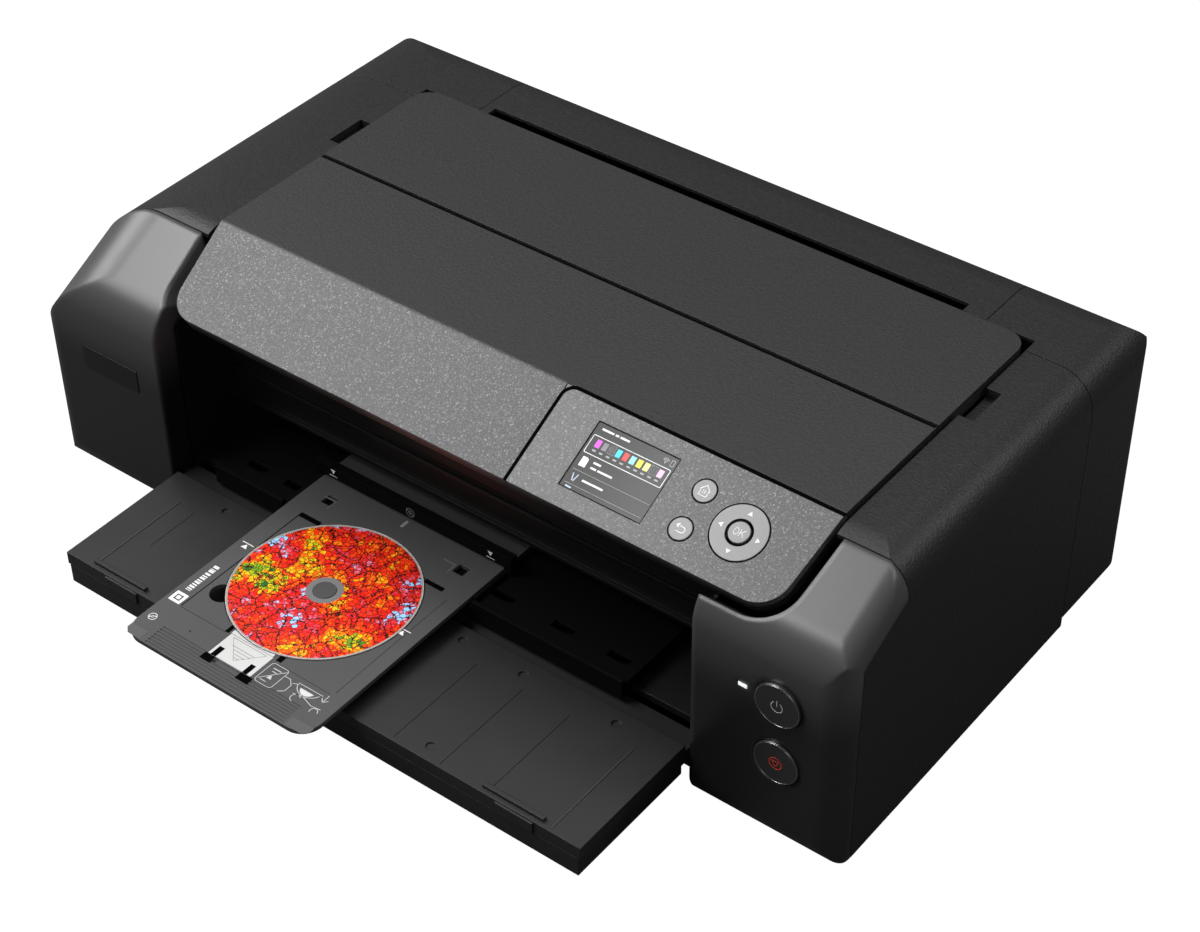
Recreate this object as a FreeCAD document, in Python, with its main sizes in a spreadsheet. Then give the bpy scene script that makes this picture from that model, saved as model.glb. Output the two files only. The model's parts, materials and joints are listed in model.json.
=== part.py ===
"""Disc label printer: a wide-format desktop photo printer with a disc tray in its front slot.

Units are millimetres. X runs to the right of someone who faces the front, Y runs to the back and
Z runs up. The origin is on the table, under the middle of the printer with its disc tray out.
A place across is counted from the paper line, which lies a little left of the casing's middle.
A place behind the plane of the front faces is called a depth, and is counted from that plane.
Faces that tilt like the front slope are placed in slope terms: how far down the slope, and how
far above it.
"""
import FreeCAD, Part
import os
import re
import Sketcher
from FreeCAD import Rotation, Vector

doc = FreeCAD.newDocument("DiscLabelPrinter")
sheet = doc.addObject("Spreadsheet::Sheet", "Sizes")
aliases = []
nodes = []


# ---------------------------------------------------------------- sizes

def sizes(title, values):
    """Adds a titled group of named cells; a text is a formula of earlier cells."""
    row = len(aliases) + 1
    sheet.set("C%d" % row, title)
    for alias, value in values.items():
        row = len(aliases) + 1
        sheet.set("A%d" % row, alias)
        sheet.set("B%d" % row, ("=" + value) if isinstance(value, str) else str(value))
        sheet.setAlias("B%d" % row, alias)
        aliases.append(alias)
    doc.recompute()


def ref(text):
    """Turns the cell names in an expression into references to the sheet."""
    return re.sub(r"[a-z_][a-z_0-9]*",
                  lambda word: "Sizes." + word.group() if word.group() in aliases else word.group(),
                  str(text))


def value(text):
    """The present value of an expression of cells."""
    return float(sheet.evalExpression(ref(text)))


def bind(thing, prop, text):
    thing.setExpression(prop, ref(text))


# ---------------------------------------------------------------- places

def put(thing, x="0", depth="0", z="0"):
    """Places a thing at a depth behind the front plane."""
    bind(thing, "Placement.Base.x", "line_x + (%s)" % x)
    bind(thing, "Placement.Base.y", "front + (%s)" % depth)
    bind(thing, "Placement.Base.z", z)
    return thing


def slope_depth(down, above="0"):
    return "slope_top - (%s) * slope_cos - (%s) * slope_sin" % (down, above)


def slope_z(down, above="0"):
    return "body_height - (%s) * slope_sin + (%s) * slope_cos" % (down, above)


def tilt(thing, x, down, above="0"):
    """Places a thing in slope terms, tilted as the front slope is."""
    thing.Placement.Rotation = Rotation(Vector(1, 0, 0), value("slope_angle"))
    bind(thing, "Placement.Rotation.Angle", "slope_angle")
    return put(thing, x, slope_depth(down, above), slope_z(down, above))


# ---------------------------------------------------------------- shapes

def block(name, x, depth, z):
    """A box between three pairs of limits."""
    box = doc.addObject("Part::Box", name)
    bind(box, "Length", "(%s) - (%s)" % (x[1], x[0]))
    bind(box, "Width", "(%s) - (%s)" % (depth[1], depth[0]))
    bind(box, "Height", "(%s) - (%s)" % (z[1], z[0]))
    return put(box, x[0], depth[0], z[0])


def slope_block(name, x, down, above):
    """A box between limits across, down and above the slope."""
    box = doc.addObject("Part::Box", name)
    bind(box, "Length", "(%s) - (%s)" % (x[1], x[0]))
    bind(box, "Width", "(%s) - (%s)" % (down[1], down[0]))
    bind(box, "Height", "(%s) - (%s)" % (above[1], above[0]))
    return tilt(box, x[0], down[1], above[0])


def rod(name, axis, x, depth, z, radius, length):
    """A cylinder that starts at a place and runs along +X, +Y or +Z."""
    bar = doc.addObject("Part::Cylinder", name)
    bind(bar, "Radius", radius)
    bind(bar, "Height", length)
    bar.Placement.Rotation = Rotation(Vector(0, 0, 1), Vector(*axis))
    return put(bar, x, depth, z)


ALONG_X = (1, 0, 0)
ALONG_Y = (0, 1, 0)
ALONG_Z = (0, 0, 1)


def slope_rod(name, x, down, above, radius, length):
    """A cylinder that stands square on the slope."""
    bar = doc.addObject("Part::Cylinder", name)
    bind(bar, "Radius", radius)
    bind(bar, "Height", length)
    return tilt(bar, x, down, above)


def outline_body(name, plane, corners, length, backward=False, taper=None):
    """A body padded from a closed outline of straight runs on one of its own planes."""
    body = doc.addObject("PartDesign::Body", name)
    support = [part for part in body.Origin.OriginFeatures if part.Role == plane][0]
    sketch = body.newObject("Sketcher::SketchObject", name + "_outline")
    sketch.AttachmentSupport = [(support, "")]
    sketch.MapMode = "FlatFace"
    spots = [Vector(value(a), value(b), 0) for a, b in corners]
    count = len(spots)
    for index in range(count):
        sketch.addGeometry(Part.LineSegment(spots[index], spots[(index + 1) % count]), False)
    for index in range(count):
        sketch.addConstraint(Sketcher.Constraint("Coincident", index, 2, (index + 1) % count, 1))
    for index, (a, b) in enumerate(corners):
        for kind, text in (("DistanceX", a), ("DistanceY", b)):
            rule = Sketcher.Constraint(kind, -1, 1, index, 1, value(text))
            number = sketch.addConstraint(rule)
            sketch.setExpression("Constraints[%d]" % number, ref(text))
    pad = body.newObject("PartDesign::Pad", name + "_pad")
    pad.Profile = sketch
    pad.Reversed = backward
    bind(pad, "Length", length)
    if taper is not None:
        bind(pad, "TaperAngle", taper)
    body.Tip = pad
    return body


def side_prism(name, x, corners):
    """An outline of depth and height, carried across between two limits of X."""
    body = outline_body(name, "YZ_Plane", corners, "(%s) - (%s)" % (x[1], x[0]))
    return put(body, x[0])


def fused(name, *parts):
    thing = doc.addObject("Part::MultiFuse", name)
    thing.Shapes = list(parts)
    return thing


def cut(name, base, *tools):
    thing = doc.addObject("Part::Cut", name)
    thing.Base = base
    thing.Tool = tools[0] if len(tools) == 1 else fused(name + "_tools", *tools)
    return thing


def shared(name, first, second):
    thing = doc.addObject("Part::Common", name)
    thing.Base = first
    thing.Tool = second
    return thing


def rounded(name, base, radius, chosen):
    """Rounds the edges of a shape that a test picks."""
    doc.recompute()
    thing = doc.addObject("Part::Fillet", name)
    thing.Base = base
    size = value(radius)
    edges = enumerate(base.Shape.Edges)
    thing.Edges = [(index + 1, size, size) for index, edge in edges if chosen(edge)]
    return thing


def direction(edge):
    """Unit vector from an edge's first end to its last, or nothing for a closed edge."""
    ends = [vertex.Point for vertex in edge.Vertexes]
    return (ends[1] - ends[0]).normalize() if len(ends) == 2 else Vector(0, 0, 0)


def runs(edge, axis):
    """Whether an edge is straight and lies along an axis."""
    ends = [vertex.Point for vertex in edge.Vertexes]
    straight = len(ends) == 2 and abs((ends[1] - ends[0]).Length - edge.Length) < 1e-6
    return straight and abs(direction(edge).dot(Vector(*axis))) > 0.999


def near(edge, axis, text, slack=0.01):
    """Whether an edge's middle lies at a value along an axis."""
    return abs(edge.CenterOfMass.dot(Vector(*axis)) - value(text)) < slack


def node(thing, label):
    """Names a finished sub-part."""
    thing.Label = label
    nodes.append(thing)
    return thing


# ---------------------------------------------------------------- driving dimensions

CASING_SIZES = {
    "body_width": 619.5, "body_depth": 334, "body_height": 200, "foot_height": 3, "top_step": 3,
    "tray_reach": 134, "line_x": -9.75, "shell": 2.5, "seam": 0.6, "fit_gap": 0.4, "run_gap": 0.1,
    "slope_angle": 28, "slope_top": 71.2, "front_round": 30, "bend_round": 30, "rear_round": 28,
    "toe_round": 22, "top_shoulder": 75, "slope_shoulder": 62, "top_right_shoulder": 25,
    "slope_right_shoulder": 12, "corner_round": 15, "rear_left_corner": 42, "left_cheek": 107,
    "right_cheek": 99, "cheek_seam": 60, "seam_strip": 19, "rear_seam": 259, "floor_rim": 14,
}
sizes("Casing", CASING_SIZES)
CASING_LINES_SIZES = {
    "front": "(tray_reach - body_depth) / 2", "side_left": "-body_width / 2 - line_x",
    "side_right": "body_width / 2 - line_x", "open_left": "side_left + left_cheek",
    "open_right": "side_right - right_cheek", "cover_top": "body_height - top_step",
    "slope_cos": "cos(slope_angle)", "slope_sin": "sin(slope_angle)",
    "slope_tan": "tan(slope_angle)", "front_top": "body_height - slope_top * slope_tan",
    "cover_bend": "slope_top - top_step / slope_tan",
    "inner_front_top": "front_top + shell * slope_tan - shell / slope_cos",
    "inner_bend": "(cover_top - shell - front_top + shell / slope_cos) / slope_tan",
    "strip_top": "front_top + seam_strip * slope_tan - seam_strip / slope_cos",
    "cheek_seam_z": "front_top + cheek_seam * slope_tan - seam_strip / slope_cos",
}
sizes("Lines that follow from the casing", CASING_LINES_SIZES)
TOP_COVERS_SIZES = {
    "lid_left_margin": 104, "lid_right_margin": 49.5, "lid_rear": 164.3, "lid_skin": 3,
    "lid_depth": 12, "slope_length": 68, "lid_taper": 7, "lid_corner": 20, "lid_gap": 2,
    "scoop_gap": 9, "scoop_depth": 22, "scoop_draft": 18, "scoop_lift": 2, "bend_soft": 7,
    "panel_length": 190, "panel_thickness": 8, "gap_line": 2.2, "tray_cover_length": 101,
    "tray_cover_corner": 14, "notch_length": 31, "notch_width": 10, "notch_depth": 7,
    "notch_setback": 18,
}
sizes("Top covers", TOP_COVERS_SIZES)
COVER_LINES_SIZES = {
    "lid_left": "side_left + lid_left_margin", "lid_right": "side_right - lid_right_margin",
    "panel_left": "lid_right - panel_length", "tray_cover_front": "lid_rear + gap_line",
    "tray_cover_rear": "lid_rear + gap_line + tray_cover_length",
    "cover_opening_rear": "lid_rear + gap_line + tray_cover_length + 3.5",
}
sizes("Lines that follow from the top covers", COVER_LINES_SIZES)
OUTPUT_TRAY_HINGE_SIZES = {
    "tray_pin_r": 3, "tray_pin_depth": 12, "tray_pin_z": 37,
}
sizes("Output tray hinge", OUTPUT_TRAY_HINGE_SIZES)
FRONT_BUTTONS_LAMP_AND_NAMEPLATE_SIZES = {
    "button_r": 15, "button_travel": 1.2, "button_proud": 2.2, "stop_proud": 0.8,
    "button_length": 9, "button_inset": 40.5, "button_x": "side_right - button_inset",
    "power_z": 117.5, "stop_z": 72, "lamp_inset": 64.5, "lamp_x": "side_right - lamp_inset",
    "lamp_z": 118, "lamp_width": 6, "lamp_height": 2.8, "lamp_length": 6, "plate_inset": 62.5,
    "plate_x": "side_left + plate_inset", "plate_z": 107, "plate_width": 47, "plate_height": 17,
    "plate_thick": 1.2, "plate_sink": 0.9,
}
sizes("Front buttons, lamp and nameplate", FRONT_BUTTONS_LAMP_AND_NAMEPLATE_SIZES)
REAR_COVER_AND_MANUAL_FEED_SIZES = {
    "feed_left_inset": 44, "feed_left": "lid_left + feed_left_inset", "feed_right_inset": 32,
    "feed_right": "lid_right - feed_right_inset", "slot_left_inset": 7,
    "slot_left": "feed_left + slot_left_inset", "slot_right_inset": 16,
    "slot_right": "feed_right - slot_right_inset", "slot_width": 8, "feed_bottom": 62,
    "rear_lift": 7, "feed_gap": 2.8, "feed_hinge_r": 2, "feed_hinge_z": 64.5,
    "feed_hinge_setback": 5.5, "feed_lug_width": 12, "feed_lug_reach": 10, "inlet_inset": 129.5,
    "inlet_x": "side_right - inlet_inset", "inlet_z": 27, "inlet_width": 30, "inlet_height": 22,
    "inlet_depth": 26, "port_inset": 66, "port_x": "side_left + port_inset", "port_z": 32,
    "port_width": 34, "port_height": 16, "port_depth": 14,
}
sizes("Rear cover and manual feed", REAR_COVER_AND_MANUAL_FEED_SIZES)
BASE_SIZES = {
    "floor_z": "foot_height + shell", "pan_wall": 2.5, "pan_flange": 8, "flange_back": 30,
    "pan_front": 22, "foot_r": 11, "foot_inset": 48, "foot_rear_inset": 30, "foot_socket": 1,
}
sizes("Base", BASE_SIZES)
LID_HINGE_SIZES = {
    "lid_pivot": 156, "lid_pivot_drop": 5.5, "hinge_pin_r": 1.5, "knuckle_width": 12,
    "knuckle_r": 4, "ear_width": 3, "hinge_left_inset": 46,
    "hinge_left_x": "lid_left + hinge_left_inset", "hinge_right_inset": 58,
    "hinge_right_x": "lid_right - hinge_right_inset", "tray_pivot_setback": 4.5,
    "tray_pivot_drop": 5, "tray_hinge_pin_r": 1.2,
}
sizes("Lid hinge", LID_HINGE_SIZES)
OPERATION_PANEL_SIZES = {
    "screen_inset": 130.5, "screen_x": "lid_right - screen_inset", "screen_down": 34,
    "screen_width": 57.4, "screen_height": 44, "window_thick": 1.2, "window_sink": 0.3,
    "module_rim": 2, "module_thick": 3, "small_key_r": 6.9, "key_travel": 0.8, "key_length": 5,
    "key_clear": 1.4, "key_proud": 0.3, "keys_inset": 78.8, "keys_x": "lid_right - keys_inset",
    "home_down": 22.6, "back_down": 48.1, "ring_inset": 47.4, "ring_x": "lid_right - ring_inset",
    "ring_down": 35.4, "ring_r": 17, "ring_hole_r": 7.4, "ok_r": 6.9, "ring_gap": 0.6,
    "panel_corner": 20,
}
sizes("Operation panel", OPERATION_PANEL_SIZES)
INNER_WALLS_AND_FRAMES_SIZES = {
    "wall_rear": 99, "wall_drop": 28, "wall_top": "body_height - wall_drop", "ledge_width": 6,
    "ledge_z": 39.6, "ledge_thick": 3.5, "beam_depth": 62, "beam_thick": 4, "beam_low": 72,
    "beam_rib": 3, "frame_left_inset": 38, "frame_left": "side_left + frame_left_inset",
    "frame_right_inset": 19.5, "frame_right": "side_right - frame_right_inset", "frame_plate": 2,
    "frame_front": 90, "frame_back": 240, "frame_drop": 24.4,
    "frame_top": "body_height - frame_drop", "frame_low": 60, "bar_a_depth": 158,
    "bar_b_depth": 255, "bar_width": 13, "bar_drop": 24, "bar_z": "body_height - bar_drop",
    "bar_thick": 6, "rail_width": 10, "lid_boss_r": 2.4, "tray_boss_r": 1.9,
}
sizes("Inner walls and frames", INNER_WALLS_AND_FRAMES_SIZES)
PRINT_DRIVE_SIZES = {
    "feed_depth": 180, "feed_z": 48, "feed_r": 7, "feed_shaft_r": 4, "eject_depth": 105,
    "eject_z": 49, "eject_r": 6, "eject_shaft_r": 3, "shaft_over": 3, "roller_left_inset": 7,
    "roller_left": "open_left + roller_left_inset", "roller_right_inset": 8.5,
    "roller_right": "open_right - roller_right_inset", "wheel_width": 20, "wheel_count": 6,
    "pinch_r": 4, "pinch_z": 63, "pinch_count": 7, "pinch_width": 34, "axle_r": 1.5, "star_r": 4,
    "star_z": 64.6, "star_width": 2, "star_count": 14, "guide_depth": 222, "guide_z": 100,
    "guide_r": 6, "platen_front": 114, "platen_rear": 172, "platen_top": 54.5,
    "platen_thick": 4.5, "leg_thick": 3, "pulley_inset": 20,
    "drive_x": "frame_left + pulley_inset", "idler_x": "frame_right - pulley_inset",
    "pulley_z": 135, "pulley_r": 8, "pulley_width": 7, "pulley_setback": 8.5,
    "pulley_depth": "frame_back - pulley_setback", "belt_thick": 1.5, "belt_width": 6,
    "motor_r": 18, "motor_length": 38, "motor_shaft_r": 2, "feed_pulley_r": 14,
    "feed_belt_width": 6, "feed_motor_depth": 140, "feed_motor_z": 26, "feed_motor_r": 14,
    "feed_motor_length": 34, "feed_motor_pulley_r": 6,
}
sizes("Print drive", PRINT_DRIVE_SIZES)
CARRIAGE_SIZES = {
    "park_inset": 78, "park_x": "frame_right - park_inset", "carriage_width": 140,
    "carriage_front": 114, "carriage_rear": 206, "carriage_low": 70, "carriage_high": 125,
    "carriage_wall": 5, "tank_count": 10, "tank_gap": 0.8, "tank_low": 74.4, "tank_high": 150,
    "tank_front": 119.5, "tank_rear": 200.5, "lug_width": 60, "lug_rear": 230.5, "lug_low": 90,
    "lug_high": 112, "clamp_width": 14, "head_near": 8, "head_left": "park_x + head_near",
    "head_far": 62, "head_right": "park_x + head_far", "head_front": 122, "head_rear": 168,
    "head_low": 61, "tank_step": 14, "tank_step_drop": 10,
}
sizes("Carriage", CARRIAGE_SIZES)
SUPPLIES_AND_ELECTRONICS_SIZES = {
    "cap_near": 4, "cap_left": "park_x + cap_near", "cap_far": 68,
    "cap_right": "park_x + cap_far", "cap_front": 118, "cap_rear": 170, "cap_high": 60,
    "cap_inset": 6, "cap_lip": 2.5, "box_front": 250, "box_rear": 304, "waste_inset": 150,
    "waste_left": "side_left + waste_inset", "waste_width": 110,
    "waste_right": "waste_left + waste_width", "waste_rear": 312, "waste_high": 36,
    "supply_inset": 104.5, "supply_right": "side_right - supply_inset", "supply_width": 155,
    "supply_left": "supply_right - supply_width", "supply_high": 56, "board_gap": 14,
    "board_x": "frame_left - board_gap", "board_thick": 1.6, "board_front": 75, "board_rear": 235,
    "board_low": 70, "board_high": 165, "chip": 22, "chip_thick": 3, "standoff_r": 3,
    "chute_left_inset": 21, "chute_left": "open_left + chute_left_inset",
    "chute_right_inset": 10.5, "chute_right": "open_right - chute_right_inset", "chute_thick": 2,
    "chute_low": 62, "chute_gap": 0.3, "chute_high": "bar_z - chute_gap", "chute_foot": 246,
    "chute_head": 264, "screw_head_r": 3, "screw_head": 2, "screw_shank_r": 1.4, "screw_count": 4,
    "screw_margin": 20,
}
sizes("Supplies and electronics", SUPPLIES_AND_ELECTRONICS_SIZES)
OUTPUT_TRAY_SIZES = {
    "out_left": 5.4, "out_right": 3, "out_reach": 98, "out_top": 47, "out_thick": 9,
    "out_skin": 2.5, "out_strip": 8, "strip_z": 33, "strip_high": 42, "strip_inset": 12,
    "dimple_r": 3, "dimple_deep": 1, "lip_width": 44, "lip_high": 2.5, "lip_deep": 3,
    "latch_width": 27, "latch_proud": 1.2, "exit_front": 22, "exit_rear": 96, "exit_thick": 5.1,
    "ext_low": 24, "ext_inset": 1.5, "ext_rear": 9, "ext_floor": 2.5, "tail_top": 32.4,
    "tail_rear": 1.5,
}
sizes("Output tray", OUTPUT_TRAY_SIZES)
DISC_TRAY_AND_ITS_GUIDE_SIZES = {
    "disc_x": -26, "disc_depth": -36, "disc_r": 60, "disc_hole_r": 7.5, "disc_thick": 1.2,
    "tray_half": 74, "tray_rear": 96, "tray_low": 55.3, "tray_thick": 3, "pocket_gap": 0.6,
    "pocket_floor": 1.9, "disc_lift": 0.3, "hub_gap": 0.2, "hub_over": 0.3, "tray_corner": 14,
    "grip_count": 7, "grip_pitch": 2.45, "grip_wide": 1.2, "grip_deep": 0.5, "grip_half": 55.5,
    "grip_margin": 1.2, "finger_r": 8, "finger_x": -74, "finger_depth": -75, "window": 8,
    "window_depth": 24, "clip_width": 34, "clip_length": 20, "clip_rear": -97, "clip_travel": 4,
    "clip_gap": 0.3, "clip_thick": 1.6, "guide_left": -162, "guide_right": 165, "guide_front": 9,
    "guide_thick": 9.6, "guide_skin": 2.5, "side_rail": 3, "rail_front": 14, "bar_front": 44,
    "bar_deep": 6, "bar_low": 60.6, "bar_high": 69, "post_width": 6, "slot_long": 16,
    "slot_wide": 6, "lip_up": 4, "lip_wide": 3,
}
sizes("Disc tray and its guide", DISC_TRAY_AND_ITS_GUIDE_SIZES)


# ---------------------------------------------------------------- casing

def envelope(name, inset, less):
    """The closed outer form of the casing, or its inner face when inset by the wall.

    It is what four simple forms share: the side outline, carried across; a block with the
    shoulders of the flat top; a tilted block with the shoulders of the slope; and a block with
    the upright corners.
    """
    wide = ("side_left + (%s)" % inset, "side_right - (%s)" % inset)
    low = "foot_height + (%s)" % inset
    high = "cover_top - (%s)" % inset
    front_high, bend = less
    form = side_prism(
        name + "_form", wide,
        ((inset, low), (inset, front_high), (bend, high),
         ("body_depth - (%s)" % inset, high), ("body_depth - (%s)" % inset, low)))
    folds = (("front", "front_round", inset, front_high), ("bend", "bend_round", bend, high),
             ("rear", "rear_round", "body_depth - (%s)" % inset, high),
             ("toe", "toe_round", inset, low))
    for fold, radius, depth, z in folds:
        form = rounded("%s_%s" % (name, fold), form, "%s - (%s)" % (radius, inset),
                       lambda e: runs(e, ALONG_X) and near(e, ALONG_Z, z)
                       and near(e, ALONG_Y, "front + (%s)" % depth))
    far = "body_depth * 2"
    top = block(name + "_top", wide, ("-" + far, far), ("-body_height", high))
    slope = slope_block(name + "_slope", wide, ("-" + far, far), ("-" + far, "-(%s)" % inset))
    for part, shoulders in ((top, ("top_shoulder", "top_right_shoulder")),
                            (slope, ("slope_shoulder", "slope_right_shoulder"))):
        for side, limit, radius in (("left", wide[0], shoulders[0]),
                                    ("right", wide[1], shoulders[1])):
            part = rounded("%s_%s" % (part.Name, side), part, "%s - (%s)" % (radius, inset),
                           lambda e: near(e, ALONG_X, "line_x + (%s)" % limit)
                           and upper_edge(e))
        form = shared(part.Name + "_share", form, part)
    rear = "body_depth - (%s)" % inset
    stand = block(name + "_walls", wide, (inset, rear), ("-body_height", "body_height * 2"))
    for size, radius in (("small", "corner_round"), ("broad", "rear_left_corner")):
        stand = rounded("%s_walls_%s" % (name, size), stand, "%s - (%s)" % (radius, inset),
                        lambda e: runs(e, ALONG_Z)
                        and (near(e, ALONG_Y, "front + (%s)" % rear)
                             and near(e, ALONG_X, "line_x + (%s)" % wide[0])) == (size == "broad"))
    return shared(name + "_envelope", form, stand)


def upper_edge(edge):
    """Whether an edge runs from front to back along the top of a level or tilted block."""
    along = direction(edge)
    return abs(along.x) < 0.01 and abs(along.y) > 0.7 and edge.CenterOfMass.z > 0


outer = envelope("outer", "0", ("front_top", "cover_bend"))
inner = envelope("inner", "shell", ("inner_front_top", "inner_bend"))
casing_shell = cut("casing_shell", outer, inner)
floor_window = block(
    "floor_window", ("side_left + floor_rim", "side_right - floor_rim"),
    ("floor_rim", "body_depth - floor_rim"), ("-1", "foot_height + shell + 1"))


def lid_outline(grow):
    """Corners of the sloping part of the lid, across and up the slope, grown all round."""
    low = "-slope_length - (%s)" % grow
    return (("lid_left - (%s)" % grow, "slope_top"),
            ("lid_left - (%s)" % grow, "0"),
            ("lid_left + lid_taper - (%s)" % grow, low),
            ("lid_right - lid_taper + (%s)" % grow, low),
            ("lid_right + (%s)" % grow, "0"),
            ("lid_right + (%s)" % grow, "slope_top"))


def slope_plate(name, grow, top, thickness, corner, taper=None):
    """A plate with the outline of the lid's slope and rounded lower corners."""
    body = outline_body(name + "_form", "XY_Plane", lid_outline(grow), thickness, True, taper)
    tilt(body, "0", "0", top)
    doc.recompute()
    to_local = body.Placement.inverse()
    reach = -value("slope_length") / 2

    def lower_corner(edge):
        middle = to_local.multVec(edge.CenterOfMass)
        lean = to_local.Rotation.multVec(direction(edge))
        return middle.y < reach and abs(lean.z) > 0.5
    return rounded(name, body, corner, lower_corner)


scoop = slope_plate("scoop", "scoop_gap", "scoop_lift", "scoop_lift + scoop_depth",
                    "lid_corner + scoop_gap", "-scoop_draft")
scoop_lining = slope_plate("scoop_lining", "scoop_gap + shell", "scoop_lift",
                           "scoop_lift + scoop_depth + shell",
                           "lid_corner + scoop_gap + shell", "-scoop_draft")


def cheek_region(x):
    return side_prism(
        "cheek_region", x,
        (("-1", "0"), ("seam_strip", "0"), ("seam_strip", "strip_top"),
         ("cheek_seam", "cheek_seam_z"), ("cheek_seam", "body_height + 1"),
         ("-1", "body_height + 1")))


def cheek(label, outside, inside, hollow):
    """A front cheek: a hollow shell with a wall beside the slot and a scoop under the lid."""
    solid = shared(label + "_solid", outer, cheek_region((outside[0], inside)
                   if label.startswith("left") else (inside, outside[0])))
    room = cut(label + "_room", shared(label + "_inside", inner, block(
        label + "_bay", hollow, ("-1", "cheek_seam + 20"), ("0", "body_height"))), scoop_lining)
    hole = rod(label + "_pin_hole", ALONG_X, "(%s) - shell * 2" % inside, "tray_pin_depth",
               "tray_pin_z", "tray_pin_r + run_gap", "shell * 4")
    return [solid, scoop, room, hole, floor_window]


left_tools = cheek("left_cheek_cover", ("side_left - 1",), "open_left",
                   ("side_left - 1", "open_left - shell"))
left_tools.append(block(
    "plate_recess", ("plate_x - plate_width / 2 - run_gap", "plate_x + plate_width / 2 + run_gap"),
    ("-1", "plate_sink + run_gap"),
    ("plate_z - plate_height / 2 - run_gap", "plate_z + plate_height / 2 + run_gap")))
node(cut("left_cheek_cut", *left_tools), "left_cheek_cover")

right_tools = cheek("right_cheek_cover", ("side_right + 1",), "open_right",
                    ("open_right + shell", "side_right + 1"))
right_tools += [
    rod("power_hole", ALONG_Y, "button_x", "-1", "power_z", "button_r + fit_gap", "shell * 3"),
    rod("stop_hole", ALONG_Y, "button_x", "-1", "stop_z", "button_r + fit_gap", "shell * 3"),
    block("lamp_hole", ("lamp_x - lamp_width / 2", "lamp_x + lamp_width / 2"), ("-1", "shell * 3"),
          ("lamp_z - lamp_height / 2", "lamp_z + lamp_height / 2")),
]
node(cut("right_cheek_cut", *right_tools), "right_cheek_cover")


def side_cover(label, x, notch_x, cup_x):
    """A side wall with its strip of the top, and a finger notch beside the rear tray cover."""
    region = side_prism(
        label + "_region", x,
        (("seam_strip + seam", "0"), ("rear_seam", "0"), ("rear_seam", "body_height + 1"),
         ("cheek_seam + seam", "body_height + 1"), ("cheek_seam + seam", "cheek_seam_z - seam"),
         ("seam_strip + seam", "strip_top - seam")))
    wall = cut(label + "_wall", shared(label + "_skin", casing_shell, region), floor_window)
    notch_front = "tray_cover_front + notch_setback - shell"
    notch_rear = "tray_cover_front + notch_setback + notch_length + shell"
    cup = block(label + "_cup", cup_x, (notch_front, notch_rear),
                ("cover_top - notch_depth - shell", "cover_top - shell / 2"))
    notch = block(label + "_notch", notch_x,
                  ("tray_cover_front + notch_setback",
                   "tray_cover_front + notch_setback + notch_length"),
                  ("cover_top - notch_depth", "body_height"))
    return node(cut(label + "_cut", fused(label + "_body", wall, cup), notch), label)


side_cover("left_side_cover", ("side_left - 1", "lid_left - lid_gap"),
           ("lid_left - lid_gap - notch_width", "lid_left"),
           ("lid_left - lid_gap - notch_width - shell", "lid_left - lid_gap"))
side_cover("right_side_cover", ("lid_right + lid_gap", "side_right + 1"),
           ("lid_right", "lid_right + lid_gap + notch_width"),
           ("lid_right + lid_gap", "lid_right + lid_gap + notch_width + shell"))


# ---------------------------------------------------------------- rear cover and base

cover_mouth = block("cover_mouth", ("lid_left - lid_gap", "lid_right + lid_gap"),
                    ("rear_seam - 1", "cover_opening_rear"), ("cover_top / 2", "body_height + 1"))
feed_mouth = block("feed_mouth", ("feed_left - seam", "feed_right + seam"),
                   ("cover_opening_rear - 1", "body_depth + 1"),
                   ("feed_bottom - feed_gap", "body_height + 1"))
inlet_hole = block("inlet_hole",
                   ("inlet_x - inlet_width / 2 - run_gap", "inlet_x + inlet_width / 2 + run_gap"),
                   ("body_depth - shell * 3", "body_depth + 1"),
                   ("inlet_z - inlet_height / 2 - run_gap", "inlet_z + inlet_height / 2 + run_gap"))
port_hole = block("port_hole",
                  ("port_x - port_width / 2 - run_gap", "port_x + port_width / 2 + run_gap"),
                  ("body_depth - shell * 3", "body_depth + 1"),
                  ("port_z - port_height / 2 - run_gap", "port_z + port_height / 2 + run_gap"))
rear_region = block("rear_region", ("side_left - 1", "side_right + 1"),
                    ("rear_seam + seam", "body_depth + 1"),
                    ("foot_height + rear_lift", "body_height + 1"))
feed_ears = []
for side, place in (("left", "feed_left - seam - shell"), ("right", "feed_right + seam")):
    ear = block("feed_ear_" + side, (place, place + " + shell"),
                ("body_depth - shell - feed_lug_reach", "body_depth - shell / 2"),
                ("feed_hinge_z - 6", "feed_hinge_z + 8"))
    hole = rod("feed_ear_hole_" + side, ALONG_X, place + " - 1", "body_depth - feed_hinge_setback",
               "feed_hinge_z", "feed_hinge_r + run_gap", "shell + 2")
    feed_ears.append(cut("feed_ear_bored_" + side, ear, hole))
rear_skin = cut("rear_skin", shared("rear_wrap", casing_shell, rear_region),
                floor_window, cover_mouth, feed_mouth, inlet_hole, port_hole)
node(fused("rear_cover_body", rear_skin, *feed_ears), "rear_cover")

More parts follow.
